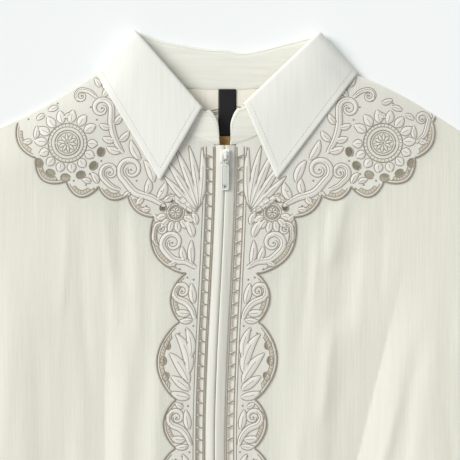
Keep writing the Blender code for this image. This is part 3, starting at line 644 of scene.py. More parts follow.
def new_tree(name: str) -> tuple[bpy.types.Material, bpy.types.NodeTree, bpy.types.Node]:
    """A material with an empty tree and its output node.

    Args:
        name: The material's name.

    Returns:
        The material, its tree and the output node.
    """
    material = bpy.data.materials.new(name)
    material.use_nodes = True
    material.node_tree.nodes.clear()
    return material, material.node_tree, add_node(material.node_tree, "ShaderNodeOutputMaterial")


@dataclass(frozen=True)
class CrinkledCotton:
    """Light ivory cotton voile, crinkled lengthwise: matt, a little see-through, fine upright ridges."""

    name: str
    colour: str
    # shade is the colour painted into the crinkle's hollows as shade
    shade: str
    glow: str
    crinkle_mm: float = 2.4  # the real crinkle is about 1 mm, drawn coarser so that it shows
    crinkle_run_mm: float = 60.0
    crinkle_depth_mm: float = 0.16
    streak_mm: float = 7.0
    streak_run_mm: float = 70.0
    streak_depth_mm: float = 0.4
    thread_mm: float = 1.1  # the real threads are 0.25 mm apart, drawn coarser so that they show
    thread_depth_mm: float = 0.03
    through: float = 0.32
    sheen: float = 0.12
    turn: float = 0.0  # the grain's turn on the sheet, in degrees

    def noise(self, tree: bpy.types.NodeTree, across_mm: float, along_mm: float,
              detail: float) -> bpy.types.Node:
        """Noise of that size across and along the grain: the place turned back, then divided by the sizes.

        Args:
            tree: The material's tree.
            across_mm: Its size across the grain.
            along_mm: Its size along it.
            detail: How many octaves.

        Returns:
            The noise node.
        """
        place = add_node(tree, "ShaderNodeTexCoord").outputs["Object"]
        grain = add_node(tree, "ShaderNodeMapping", {
            "Vector": place, "Rotation": (0, 0, math.radians(self.turn)),
            "Scale": (across_mm * MM, along_mm * MM, 1.0)}, vector_type="TEXTURE")
        return add_node(tree, "ShaderNodeTexNoise", {
            "Vector": grain.outputs["Vector"], "Scale": 1.0, "Detail": detail, "Roughness": 0.55})

    def material(self) -> bpy.types.Material:
        """A diffuse sheet with stretched noise as crinkle, its hollows painted a little darker as shade,
        mixed with the light that comes through.

        Returns:
            The material.
        """
        material, tree, output = new_tree(self.name)
        crinkle = self.noise(tree, self.crinkle_mm, self.crinkle_run_mm, 3.0)
        streaks = self.noise(tree, self.streak_mm, self.streak_run_mm, 2.0)
        weave = self.noise(tree, self.thread_mm, self.thread_mm, 1.0)
        deep = add_node(tree, "ShaderNodeBump", {
            "Height": crinkle.outputs["Fac"], "Strength": 1.0, "Distance": self.crinkle_depth_mm * MM})
        deeper = add_node(tree, "ShaderNodeBump", {
            "Height": streaks.outputs["Fac"], "Normal": deep.outputs["Normal"], "Strength": 1.0,
            "Distance": self.streak_depth_mm * MM})
        fine = add_node(tree, "ShaderNodeBump", {
            "Height": weave.outputs["Fac"], "Normal": deeper.outputs["Normal"], "Strength": 1.0,
            "Distance": self.thread_depth_mm * MM})
        # Painted shade: the crinkle's hollows take the darker shade colour, its ridges the colour.
        crinkle_hollow_shade = add_node(tree, "ShaderNodeMapRange", {
            "Value": crinkle.outputs["Fac"], "From Min": 0.34, "From Max": 0.62})
        colour = add_node(tree, "ShaderNodeMix", {
            "Factor": crinkle_hollow_shade.outputs["Result"], 6: linear(self.shade), 7: linear(self.colour)},
            data_type="RGBA")
        cloth = add_node(tree, "ShaderNodeBsdfPrincipled", {
            "Base Color": colour.outputs[2], "Roughness": 0.82, "Specular IOR Level": 0.25,
            "Sheen Weight": self.sheen, "Sheen Roughness": 0.4, "Normal": fine.outputs["Normal"]})
        light = add_node(tree, "ShaderNodeBsdfTranslucent", {
            "Color": linear(self.glow), "Normal": deeper.outputs["Normal"]})
        mixed = add_node(tree, "ShaderNodeMixShader", {
            "Fac": self.through, 1: cloth.outputs[0], 2: light.outputs[0]})
        tree.links.new(mixed.outputs[0], output.inputs["Surface"])
        return material


@dataclass(frozen=True)
class TwistedThread:
    """Rayon embroidery thread laid as a cord: a soft gloss, and the slant of its wrapping stitches."""

    name: str
    colour: str
    stitch_groove_shade: str
    stitch_mm: float = 0.9  # the real stitches are 0.4 mm apart, drawn coarser so that they show
    slant: float = 24.0
    roughness: float = 0.5

    def material(self) -> bpy.types.Material:
        """Slanted bands along the piece's own map, lower between the stitches and painted darker there as
        shade.

        Returns:
            The material.
        """
        material, tree, output = new_tree(self.name)
        place = add_node(tree, "ShaderNodeUVMap", uv_map="Stitch").outputs["UV"]
        turned = add_node(tree, "ShaderNodeMapping", {
            "Vector": place, "Rotation": (0, 0, math.radians(self.slant))})
        bands = add_node(tree, "ShaderNodeTexWave", {
            "Vector": turned.outputs["Vector"], "Scale": WAVE / self.stitch_mm, "Distortion": 0.6,
            "Detail": 1.0}, bands_direction="X")
        bump = add_node(tree, "ShaderNodeBump", {
            "Height": bands.outputs["Fac"], "Strength": 0.8, "Distance": 0.16 * MM})
        # Painted shade: the thread is darker between the stitches, where the bands are low.
        colour = add_node(tree, "ShaderNodeMix", {
            "Factor": bands.outputs["Fac"], 6: linear(self.stitch_groove_shade), 7: linear(self.colour)},
            data_type="RGBA")
        shader = add_node(tree, "ShaderNodeBsdfPrincipled", {
            "Base Color": colour.outputs[2], "Roughness": self.roughness, "Specular IOR Level": 0.4,
            "Sheen Weight": 0.1, "Normal": bump.outputs["Normal"]})
        tree.links.new(shader.outputs[0], output.inputs["Surface"])
        return material


@dataclass(frozen=True)
class WovenSatin:
    """Black woven label tape: fine ribs across it and a low sheen."""

    name: str
    colour: str
    # light is the colour of the painted highlight on the ribs' tops
    light: str
    rib_mm: float = 0.8  # the real ribs are 0.3 mm apart, drawn coarser so that they show

    def material(self) -> bpy.types.Material:
        """Ribs from a wave across the tape, their tops painted a little lighter as a highlight.

        Returns:
            The material.
        """
        material, tree, output = new_tree(self.name)
        place = add_node(tree, "ShaderNodeTexCoord").outputs["Object"]
        ribs = add_node(tree, "ShaderNodeTexWave", {
            "Vector": place, "Scale": WAVE / (self.rib_mm * MM), "Distortion": 0.2},
            bands_direction="Y")
        bump = add_node(tree, "ShaderNodeBump", {
            "Height": ribs.outputs["Fac"], "Strength": 0.5, "Distance": 0.1 * MM})
        # Painted highlight: the ribs' tops take the lighter colour.
        colour = add_node(tree, "ShaderNodeMix", {
            "Factor": ribs.outputs["Fac"], 6: linear(self.colour), 7: linear(self.light)},
            data_type="RGBA")
        shader = add_node(tree, "ShaderNodeBsdfPrincipled", {
            "Base Color": colour.outputs[2], "Roughness": 0.46, "Specular IOR Level": 0.35,
            "Normal": bump.outputs["Normal"]})
        tree.links.new(shader.outputs[0], output.inputs["Surface"])
        return material


@dataclass(frozen=True)
class MouldedResin:
    """Moulded polycarbonate or lacquered zinc: a smooth skin with faint flow marks."""

    name: str
    colour: str
    roughness: float = 0.16
    clear: float = 0.0
    metallic: float = 0.0
    coat: float = 0.3

    def material(self) -> bpy.types.Material:
        """A coated dielectric or metal, let through by its clear share, with low noise in its skin.

        Returns:
            The material.
        """
        material, tree, output = new_tree(self.name)
        place = add_node(tree, "ShaderNodeTexCoord").outputs["Object"]
        flow = add_node(tree, "ShaderNodeTexNoise", {"Vector": place, "Scale": 420.0, "Detail": 2.0})
        bump = add_node(tree, "ShaderNodeBump", {
            "Height": flow.outputs["Fac"], "Strength": 0.25, "Distance": 0.15 * MM})
        rough = add_node(tree, "ShaderNodeMapRange", {
            "Value": flow.outputs["Fac"], "To Min": self.roughness * 0.8, "To Max": self.roughness * 1.3})
        shader = add_node(tree, "ShaderNodeBsdfPrincipled", {
            "Base Color": linear(self.colour), "Roughness": rough.outputs["Result"],
            "Metallic": self.metallic, "Transmission Weight": self.clear, "Coat Weight": self.coat,
            "Coat Roughness": 0.08, "Normal": bump.outputs["Normal"]})
        tree.links.new(shader.outputs[0], output.inputs["Surface"])
        return material


@dataclass(frozen=True)
class PaperBackdrop:
    """Matt pale studio paper: almost white, faintly cool."""

    name: str
    colour: str

    def material(self) -> bpy.types.Material:
        """A plain diffuse sheet with a very low grain.

        Returns:
            The material.
        """
        material, tree, output = new_tree(self.name)
        place = add_node(tree, "ShaderNodeTexCoord").outputs["Object"]
        grain = add_node(tree, "ShaderNodeTexNoise", {"Vector": place, "Scale": 900.0})
        bump = add_node(tree, "ShaderNodeBump", {
            "Height": grain.outputs["Fac"], "Strength": 0.1, "Distance": 0.05 * MM})
        shader = add_node(tree, "ShaderNodeBsdfPrincipled", {
            "Base Color": linear(self.colour), "Roughness": 0.95, "Specular IOR Level": 0.1,
            "Normal": bump.outputs["Normal"]})
        tree.links.new(shader.outputs[0], output.inputs["Surface"])
        return material


class Finish(Enum):
    """The finishes of the shirt, each made once."""

    FRONT = CrinkledCotton("crinkled_cotton_voile", "#fdfef6", "#f9faf1", "#fefef4", through=0.4)
    # Painted shade: the back is the fronts' cotton made warmer and a little darker, for the shade of the
    # shirt's hollow inside seen through the openings.
    BACK = CrinkledCotton("crinkled_cotton_inside_painted_warm_shade", "#faf5e8", "#f5efe0", "#f8f2e2", through=0.05)
    SLEEVE_LEFT = CrinkledCotton("crinkled_cotton_left_sleeve", "#fcfdf5", "#f7f8ef", "#fdfdf2",
                                 through=0.3, turn=-48.0)
    SLEEVE_RIGHT = CrinkledCotton("crinkled_cotton_right_sleeve", "#fcfdf5", "#f7f8ef", "#fdfdf2",
                                  through=0.3, turn=48.0)
    COLLAR = CrinkledCotton("interlined_cotton_collar", "#f3f4ec", "#eeeee6", "#f6efdc", through=0.04,
                            crinkle_depth_mm=0.06, streak_depth_mm=0.08)
    TAPE = CrinkledCotton("woven_zip_tape", "#fbf8ef", "#f4efe1", "#f6efdc", through=0.04, crinkle_mm=1.2,
                          crinkle_run_mm=3.0, crinkle_depth_mm=0.1, streak_depth_mm=0.0)
    TAPE_END = CrinkledCotton("tan_zip_tape_end", "#b3905c", "#98763f", "#a58354", through=0.04,
                              crinkle_mm=1.2, crinkle_run_mm=3.0, crinkle_depth_mm=0.1, streak_depth_mm=0.0)
    STAND = CrinkledCotton("interlined_cotton_stand", "#f2f2e8", "#ebeadd", "#f6efdc", through=0.04,
                           crinkle_depth_mm=0.06, streak_depth_mm=0.16, turn=90.0)
    # Painted shade: the folded zip edges are the fronts' cotton made greyer.
    ZIP_EDGE = CrinkledCotton("folded_cotton_zip_edge_painted_shade", "#e9e8df", "#e0ded3", "#f6efdc", through=0.04,
                              crinkle_depth_mm=0.06, streak_depth_mm=0.1)
    GROUND = CrinkledCotton("cutwork_ground_voile", "#f8f8f0", "#f3f2e9", "#fefcf2", through=0.28,
                            crinkle_depth_mm=0.06, streak_depth_mm=0.05)
    CORD = TwistedThread("taupe_rayon_cord", "#b4ab9e", "#91877a")
    SATIN = TwistedThread("ivory_satin_stitch", "#efede5", "#dfdcd2", stitch_mm=1.3)
    # Painted shade: the tan bands along the scalloped edge stand for the shade of the barred openings there,
    # where the shirt's inside shows.
    SHADED = TwistedThread("tan_satin_band_painted_shade", "#d8d1bf", "#c4baa4", stitch_mm=1.3)
    SEWING = TwistedThread("ivory_sewing_thread", "#dcd6c6", "#bfb7a4")
    BRASS = MouldedResin("lacquered_brass_zip", "#a98b55", roughness=0.34, metallic=0.85)
    LACQUER = MouldedResin("white_lacquered_zinc_slider", "#f6f6f0", roughness=0.3, coat=0.4)
    CLEAR = MouldedResin("milky_polycarbonate_pull", "#f4f6f1", roughness=0.14, clear=0.5)
    WINDOW = MouldedResin("smoky_polycarbonate_window", "#e0e3d6", roughness=0.2, clear=0.1)
    LABEL = WovenSatin("black_woven_label_satin", "#0c0c0e", "#1d1d20")
    PAPER = PaperBackdrop("pale_studio_paper", "#f4f7f6")

    def get(self) -> bpy.types.Material:
        """This finish's material, made on its first use."""
        return bpy.data.materials.get(self.value.name) or self.value.material()


@dataclass
class Pile:
    """Surfaces gathered into one mesh, each with its own points, quads or triangles and map."""

    points: list[Array] = field(default_factory=list)
    corners: list[Array] = field(default_factory=list)
    sizes: list[Array] = field(default_factory=list)
    maps: list[Array] = field(default_factory=list)
    count: int = 0

    def add(self, points: Array, faces: Array, flat: Array | None = None) -> None:
        """Adds a surface: points in millimetres, faces as rows of point numbers, a map in millimetres.

        Args:
            points: The points.
            faces: Rows of point numbers.
            flat: The map; the plan where there is none.
        """
        points = np.asarray(points, float).reshape(-1, 3)
        self.points.append(points)
        self.corners.append((np.asarray(faces) + self.count).ravel())
        self.sizes.append(np.full(len(faces), np.shape(faces)[1]))
        self.maps.append(points[:, :2] if flat is None else np.asarray(flat, float).reshape(-1, 2))
        self.count += len(points)

    def make(self, name: str, finish: Finish, slot: str, node: str | None = None,
             body: str = BODY) -> bpy.types.Object:
        """Makes the piece, in metres in the frame, and lets it ride.

        Args:
            name: The piece's name.
            finish: Its finish.
            slot: Not used.
            node: The solid that it stands for, if any.
            body: The body that it rides on.

        Returns:
            The new object, at the origin with its place in its mesh.
        """
        points = np.vstack(self.points) * MM
        points[:, 1] += NECK_SEAM_Y * MM
        corners, sizes = np.concatenate(self.corners), np.concatenate(self.sizes)
        mesh = bpy.data.meshes.new(name)
        mesh.vertices.add(len(points))
        mesh.vertices.foreach_set("co", points.ravel())
        mesh.loops.add(len(corners))
        mesh.loops.foreach_set("vertex_index", corners.astype(np.int32))
        mesh.polygons.add(len(sizes))
        starts = np.concatenate([[0], np.cumsum(sizes)[:-1]])
        mesh.polygons.foreach_set("loop_start", starts.astype(np.int32))
        layer = mesh.uv_layers.new(name="Stitch")
        layer.data.foreach_set("uv", np.vstack(self.maps)[corners].ravel())
        mesh.update(calc_edges=True)
        mesh.validate()
        mesh.shade_smooth()
        mesh.materials.append(finish.get())
        piece = bpy.data.objects.new(name, mesh)
        bpy.context.scene.collection.objects.link(piece)
        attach(piece, body)
        if node:
            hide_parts(node)
        log.info("%s: %d points, %d faces", name, len(points), len(sizes))
        return piece


def make_piece(surface: tuple, name: str, finish: Finish, slot: str, node: str | None = None,
               body: str = BODY) -> bpy.types.Object:
    """Makes a piece of one surface, given as what Pile.add takes; the rest is as in Pile.make.

    Args:
        surface: Its points, faces and perhaps map.
        name: The piece's name.
        finish: Its finish.
        slot: Handed on to Pile.make.
        node: The solid that it stands for, if any.
        body: The body that it rides on.

    Returns:
        The new object.
    """
    pile = Pile()
    pile.add(*surface)
    return pile.make(name, finish, slot, node, body)


def cloth_cut(outline: Array, height: Height, spacing: float, windows: Sequence[Array] = (),
              keep_in: Sequence[Array] = (), extra: Array | None = None) -> tuple[Array, Array]:
    """A sheet cut to an outline and laid on a height.

    Points of a staggered grid and of all the edges are joined into triangles in plan, those whose middle
    is outside the outline, outside keep_in or in a window are dropped, and the rest is lifted.

    Args:
        outline: The closed edge in plan.
        height: The height of the surface at x and y.
        spacing: How far apart the grid's points are.
        windows: Closed edges that are cut out.
        keep_in: Further closed edges that the sheet stays inside.
        extra: Further points, as along a crease.

    Returns:
        The sheet's points and its triangles.
    """
    row_share, edge_share, clear_share, window_step = 0.87, 0.8, 0.45, 1.6
    low, high = outline.min(axis=0), outline.max(axis=0)
    xs = np.arange(low[0], high[0] + spacing, spacing)
    ys = np.arange(low[1], high[1] + spacing, spacing * row_share)
    gx, gy = np.meshgrid(xs, ys)
    gx = gx + 0.5 * spacing * (np.arange(len(ys)) % 2)[:, None]
    filling = np.stack([gx.ravel(), gy.ravel()], axis=1)
    loops = [resampled(outline, spacing, closed=True)]
    loops += [resampled(edge, spacing * edge_share, closed=True) for edge in keep_in]
    loops += [resampled(edge, min(spacing * edge_share, window_step), closed=True) for edge in windows]
    keep = inside(filling, outline)
    for edge in keep_in:
        keep &= inside(filling, edge)
    filling = filling[keep]
    if extra is not None:
        filling = np.vstack([filling, extra])
    near = np.zeros(len(filling), bool)
    for loop in loops:
        for part in np.array_split(loop, max(len(loop) // 64, 1)):
            box = (filling > part.min(axis=0) - spacing) & (filling < part.max(axis=0) + spacing)
            which = np.nonzero(box.all(axis=1))[0]
            if len(which):
                gap = np.linalg.norm(filling[which, None, :] - part[None, :, :], axis=2).min(axis=1)
                near[which] |= gap < spacing * clear_share
    filling = filling[~near]
    firsts = np.concatenate([[0], np.cumsum([len(loop) for loop in loops])])
    edges = [(int(first + k), int(first + (k + 1) % len(loop)))
             for first, loop in zip(firsts, loops) for k in range(len(loop))]
    flat = np.vstack([*loops, filling])
    found, _, triangles, *_ = delaunay_2d_cdt(flat.tolist(), edges, [], 0, 1e-5)
    plan, triangles = np.array(found), np.array(triangles)
    middle = plan[triangles].mean(axis=1)
    keep = inside(middle, loops[0])
    for edge in keep_in:
        keep &= inside(middle, edge)
    for edge in windows:
        low, high = edge.min(axis=0), edge.max(axis=0)
        which = np.nonzero(((middle > low) & (middle < high)).all(axis=1))[0]
        keep[which] &= ~inside(middle[which], edge)
    triangles = triangles[keep]
    used, triangles = np.unique(triangles, return_inverse=True)
    plan, triangles = plan[used], triangles.reshape(-1, 3)
    a, b, c = plan[triangles[:, 0]], plan[triangles[:, 1]], plan[triangles[:, 2]]
    turned = np.cross(b - a, c - a) < 0
    triangles[turned] = triangles[turned][:, ::-1]
    return np.column_stack([plan, height(plan[:, 0], plan[:, 1])]), triangles


def declare_sheet(piece: bpy.types.Object, outline: Array, pieces: Sequence = (),
                  area: float | None = None) -> None:
    """Logs a sheet's cut: the outline's box and the area inside the outline.

    Args:
        piece: The sheet.
        outline: The cut's closed edge, in millimetres.
        pieces: Not used.
        area: The flat area in square millimetres where the outline doesn't give it.
    """
    size = (outline.max(axis=0) - outline.min(axis=0)) * MM
    area = (outline_area(outline) if area is None else area) * MM * MM
    log.info("%s: cut %.3f x %.3f m, %.4f m2", piece.name, *size, area)


def unit(vectors: Array) -> Array:
    """Each vector made one long."""
    return vectors / np.maximum(np.linalg.norm(vectors, axis=-1, keepdims=True), 1e-9)


def grid_normals(grid: Array) -> Array:
    """The normal at each point of a grid: the cross product of its two directions."""
    return unit(np.cross(np.gradient(grid, axis=1), np.gradient(grid, axis=0)))


def walled(grid: Array, wall: float) -> tuple[Array, Array]:
    """A closed wall round a grid, as points and quads: half a wall each way, with a rounded rim.

    Args:
        grid: Rows of points.
        wall: The wall's thickness.

    Returns:
        The points and the quads.
    """
    rows, columns = grid.shape[:2]
    normal = grid_normals(grid)
    number = np.arange(rows * columns).reshape(rows, columns)
    rim = np.concatenate([number[0, :-1], number[:-1, -1], number[-1, :0:-1], number[:0:-1, 0]])
    flat = grid.reshape(-1, 3)
    inner = np.clip(np.stack(np.unravel_index(rim, (rows, columns)), axis=1), [1, 1],
                    [rows - 2, columns - 2])
    outward = unit(flat[rim] - grid[inner[:, 0], inner[:, 1]])
    edge = flat[rim] + outward * wall / 2
    points = np.vstack([(grid + normal * wall / 2).reshape(-1, 3), (grid - normal * wall / 2).reshape(-1, 3),
                        edge])
    half = rows * columns
    faces = grid_quads(rows, columns)
    nxt = np.roll(rim, -1)
    k = np.arange(len(rim))
    middle, middle_nxt = 2 * half + k, 2 * half + (k + 1) % len(rim)
    upper = np.stack([nxt, rim, middle, middle_nxt], axis=1)
    lower = np.stack([middle_nxt, middle, rim + half, nxt + half], axis=1)
    return points, np.vstack([faces, faces[:, ::-1] + half, upper, lower])


def stitches(path: Array, normal: Array, length: float = 2.2, space: float = 0.7, width: float = 0.5,
             rise: float = 0.28) -> tuple[Array, Array]:
    """A run of machine stitches on a surface: each is a small low bead that bows up between its ends.

    Args:
        path: Points on the surface, in millimetres.
        normal: The surface's normal at each point.
        length: How long a stitch is.
        space: The space between two stitches.
        width: How wide the thread is.
        rise: How far it stands up.

    Returns:
        The points and the quads of all the stitches.
    """
    swell = np.array([0.35, 0.9, 1.0, 0.9, 0.35])[None, :, None, None]
    turn = np.radians([0.0, 60.0, 120.0, 180.0])
    sections, around, sink = swell.size, len(turn), 0.04
    run = np.concatenate([[0.0], np.cumsum(np.linalg.norm(np.diff(path, axis=0), axis=1))])
    count = max(int(run[-1] / (length + space)), 1)
    at = (np.arange(count)[:, None] * run[-1] / count
          + np.linspace(0, 1, sections)[None, :] * (run[-1] / count - space))
    centre = np.stack([np.interp(at, run, path[:, k]) for k in range(3)], axis=-1)
    up = unit(np.stack([np.interp(at, run, normal[:, k]) for k in range(3)], axis=-1))
    along = unit(np.gradient(centre, axis=1))
    across = np.cross(up, along)
    section = (across[:, :, None, :] * (np.cos(turn) * width / 2)[None, None, :, None]
               + up[:, :, None, :] * (np.sin(turn) * rise - sink)[None, None, :, None])
    points = (centre[:, :, None, :] + section * swell).reshape(-1, 3)
    first = sections * around * np.arange(count)
    faces = (grid_quads(sections, around)[None] + first[:, None, None]).reshape(-1, 4)
    return points, faces[:, ::-1]


def spread(path: Array, wide: Array) -> Array:
    """Plan points beside a path, each moved to its left by wide, a row of them at each point."""
    return path[:, None, :] + sideways(path)[:, None, :] * wide[..., None]


def strip(plan: Array, up: Array, along: Array, across: Array) -> tuple[Array, Array, Array]:
    """A strip of plan points at the heights up, as points, quads and a map of along and across."""
    flat = np.stack(np.broadcast_arrays(along, across), axis=-1)
    return np.concatenate([plan, up[..., None]], axis=-1), grid_quads(*up.shape), flat


@dataclass(frozen=True)
class Leaf:
    """A satin-stitched leaf: its base, length, width, heading in degrees, and how far it turns."""

    out: float
    y: float
    length: float
    width: float
    heading: float
    bend: float = 0.0
    veined: bool = True


@dataclass(frozen=True)
class Volute:
    """A scroll with a body: a tail through points, then a spiral round a centre from the tail's end."""

    tail: tuple[Point, ...]
    centre: Point
    turn: float
    width: float

    def spine(self) -> Array:
        """The tail, then the spiral, whose radius shrinks as the 0.8th power of what is left.

        Returns:
            The points, a millimetre apart.
        """
        end = np.array(self.tail[-1]) - self.centre
        t = np.linspace(0.0, 1.0, 44)[1:]
        a = math.atan2(end[1], end[0]) + math.radians(self.turn) * t
        radius = math.hypot(*end) * ((1 - t) ** 0.8 * 0.8 + 0.2)
        curl = np.stack([self.centre[0] + radius * np.cos(a), self.centre[1] + radius * np.sin(a)], axis=1)
        return resampled(np.vstack([curve(self.tail, 10), curl]), 1.0)


YOKE_VOLUTES = (
    Volute(((56.0, -112.0), (70.0, -104.0), (85.0, -99.0), (96.0, -87.0)), (89.5, -77.5), 450.0, 8.0),
    Volute(((97.0, -62.0), (104.0, -50.0), (108.0, -36.0), (108.0, -20.0)), (117.5, -19.0), -440.0, 7.2),
    Volute(((24.0, -171.0), (34.0, -165.0), (46.0, -163.0), (55.5, -154.0)), (48.0, -147.0), 450.0, 7.4),
    Volute(((60.0, -151.0), (65.5, -144.0), (65.5, -135.0)), (59.0, -134.0), 420.0, 4.6),
    Volute(((181.0, -52.0), (190.0, -44.0), (194.0, -32.0)), (188.0, -29.0), 420.0, 5.0),
    Volute(((99.0, -97.0), (108.0, -93.0), (115.5, -86.0)), (109.5, -80.0), 430.0, 5.6),
    Volute(((122.0, -9.0), (129.0, -3.0), (136.0, -1.0)), (137.0, -7.0), -400.0, 4.6),
)

YOKE_LEAVES = tuple(Leaf(*row) for row in (
    (64, -106, 19, 8, 116, -46), (75, -101, 16, 7, 100, -46), (78, -103, 10, 5.6, -52, 40),
    (90, -98, 9, 5, -40, 40), (68, -90, 24, 8, 68, -40), (80, -68, 22, 7.4, 62, 44),
    (99, -60, 15, 6.6, 16, 50), (104.5, -49, 13, 6.2, 10, 56), (108.5, -37, 12, 5.6, 14, 60),
    (101, -50, 14, 6, 136, -50), (106, -34, 13, 5.6, 128, -50), (117, -8, 15, 6, 116, -50),
    (159, -17.5, 11, 5.2, -18, -20), (172, -24.5, 10, 4.8, -32, -20), (184, -49, 10, 5, -10, 60),
    (181, -48, 13, 5.2, 96, -30), (34, -165, 16, 6.2, 72, 40), (28, -168, 24, 6.2, 86, 20),
    (43, -164.5, 10, 5, -22, 50), (61, -127, 9, 5, 52, 30), (70, -115, 10, 5, 2, 40),
    (29, -142, 19, 7, 66, -50), (26, -130, 14, 5.6, 72, -40), (58, -107, 12, 5.6, 150, -40),
    (121, -91, 13, 5.6, 60, -50), (127, -90, 10, 5, 22, -30), (113, -2, 12, 5.4, 84, 40),
    (119.5, 1, 11, 5, 60, -40), (149, -14, 12, 5.2, 20, 30), (146, -23, 10, 4.8, -30, 40)))

LONG_LOBE_LEAVES = tuple(Leaf(*row) for row in (
    (24, 2.5, 20, 7.6, 14, 40), (24.5, 8.5, 23, 8.4, 37, -16), (25.5, 15, 36, 9.6, 57, -32),
    (26.5, 24, 43, 9.6, 72, -56), (25.4, 39, 31, 7.6, 81, -44)))

SHORT_LOBE_VOLUTE = Volute(((22.8, 2.0), (26.0, 11.0), (32.0, 18.0), (40.0, 21.5)), (36.5, 29.0), 430.0, 7.0)

SHORT_LOBE_LEAVES = tuple(Leaf(*row) for row in (
    (24.5, 17, 20, 6.8, 80, 6), (27.5, 8.5, 15, 6.6, 6, 50), (25, 2, 13, 5.2, -6, 30),
    (30, 38.5, 9, 4.8, 30, 40)))


@dataclass
class Embroidery:
    """One side's embroidery: worked in panel coordinates, out from the zip and y, then laid on the cloth.

    Raised cords are half ellipses carried along their paths, leaves are low satin domes between their
    two edges, and knots are small beads.
    """

    side: NeckSide
    label: str
    cord_width: float = 1.15
    fine_width: float = 0.88
    vein_width: float = 0.62
    edge_width: float = 1.8
    rim_width: float = 1.2
    thin_width: float = 0.7
    echo_insets: tuple[float, float] = (2.5, 6.2)
    band_width: float = 3.6
    bar_space: float = 3.4
    ladder_margin: float = 0.7
    rung_slant: float = 1.5
    rim_space: float = 0.55
    step: float = 1.25
    dome: float = 0.5
    band_rise: float = 0.3
    cord_sink: float = 0.05
    satin_sink: float = 0.03
    cords: list[tuple[Array, float, bool, float]] = field(default_factory=list)
    leaves: list[Leaf] = field(default_factory=list)
    volutes: list[Volute] = field(default_factory=list)
    knots: list[Point] = field(default_factory=list)
    bands: list[tuple[Array, float]] = field(default_factory=list)

    def cord(self, path: Array, width: float | None = None, trim: bool = True, lift: float = 0.0) -> None:
        """Adds a cord along a panel path, lifted onto what it is worked on; trim keeps it on the cutwork."""
        self.cords.append((np.asarray(path, float), width or self.cord_width, trim, lift))

    def ring(self, out: float, y: float, radius: float, start: float = 0.0, turn: float = 360.0,
             width: float | None = None) -> None:
        """Adds a cord along an arc."""
        a = np.radians(np.linspace(start, start + turn, max(int(abs(turn) / 12), 4)))
        self.cord(np.stack([out + radius * np.cos(a), y + radius * np.sin(a)], axis=1), width)

    def bars(self, path_a: Array, path_b: Array, space: float, width: float | None = None) -> None:
        """Adds short bars between two paths, evenly along them.

        Args:
            path_a: One path.
            path_b: The other.
            space: The space between bars.
            width: A bar's width.
        """
        count = max(int(np.linalg.norm(np.diff(path_a, axis=0), axis=1).sum() / space), 1)
        a, b = resampled(path_a, 0.5), resampled(path_b, 0.5)
        for t in (np.arange(count) + 0.5) / count:
            ends = a[int(t * (len(a) - 1))], b[int(t * (len(b) - 1))]
            self.cord(np.array([ends[0], (ends[0] + ends[1]) / 2, ends[1]]), width or self.fine_width)

    def rosette(self, out: float, y: float, radius: float, petals: int) -> None:
        """Adds a ringed rosette: a disc of small petals in two rings, and a ring of bars round them.

        Args:
            out: Its distance from the zip.
            y: Its y.
            radius: Its radius.
            petals: How many petals.
        """
        for share, width in ((1.0, self.cord_width), (0.82, self.fine_width)):
            self.ring(out, y, radius * share, width=width)
        for k in range(petals):
            heading = 360.0 * k / petals + 11.0
            a = math.radians(heading)
            self.leaves.append(Leaf(out + 0.12 * radius * math.cos(a), y + 0.12 * radius * math.sin(a),
                                    0.64 * radius, 1.9 * radius / petals, heading, 0.0, False))
        self.knots.append((out, y))

    def petal_ring(self, out: float, y: float, radius: float, length: float, width: float, start: float,
                   turn: float, count: int, bend: float = 0.0) -> None:
        """Adds leaves that radiate from a ring."""
        for k in range(count):
            heading = start + turn * k
            a = math.radians(heading)
            self.leaves.append(Leaf(out + radius * math.cos(a), y + radius * math.sin(a), length, width,
                                    heading, bend))

    def edge(self) -> None:
        """The scalloped edge: a heavy cord on it, two echoes inside it, and a band painted tan as shade, with
        bars across it.
        """
        for lobe in CUT.cutwork_lobes():
            self.cord(lobe, self.edge_width, trim=False)
            deep, deeper = (lobe + sideways(lobe) * inset for inset in self.echo_insets)
            cut_ends = max(len(lobe) // 9, 1)
            self.cord(deep[1:-1], self.fine_width)
            inner_edge = deeper[cut_ends + 1:-cut_ends - 1]
            self.cord(inner_edge, self.fine_width)
            outer_edge = deep[cut_ends:-cut_ends]
            self.bands.append(((outer_edge[1:-1] + inner_edge[:len(outer_edge) - 2]) / 2, self.band_width))
            self.bars(outer_edge, inner_edge, self.bar_space)

    def ladder(self) -> None:
        """The ladder beside the zip: cords on both sides of its openings, and a slanted rung between."""
        width, height = CUT.ladder_gap
        near = CUT.ladder_out - width / 2 - self.ladder_margin
        far = CUT.ladder_out + width / 2 + self.ladder_margin
        y = np.linspace(CUT.zip_top_y - 1.0, CUT.hem_y + 1.0, 300)
        for out, wide in ((near - 1.3, self.thin_width), (near, self.rim_width), (far, self.rim_width),
                          (far + 2.6, self.fine_width)):
            self.cord(np.stack([np.full(len(y), out), y], axis=1), wide, trim=False)
        at = CUT.ladder_from + (CUT.ladder_pitch - height) / 2
        while at > CUT.hem_y + 4.0:
            rung = np.array([(near, at - self.rung_slant), (CUT.ladder_out, at), (far, at + self.rung_slant)])
            self.cord(rung, self.rim_width, trim=False)
            at -= CUT.ladder_pitch

    def rims(self) -> None:
        """A cord round each rounded opening."""
        for gap in CUT.eyelets(self.side):
            centre = gap.mean(axis=0)
            rim = centre + (gap - centre) * (
                1 + self.rim_space / np.linalg.norm(gap - centre, axis=1))[:, None]
            rim = np.vstack([rim, rim[:1]])
            panel = np.stack([(rim[:, 0] - CUT.zip_x(rim[:, 1])) * self.side.sign, rim[:, 1]], axis=1)
            self.cord(panel, self.rim_width, trim=False)

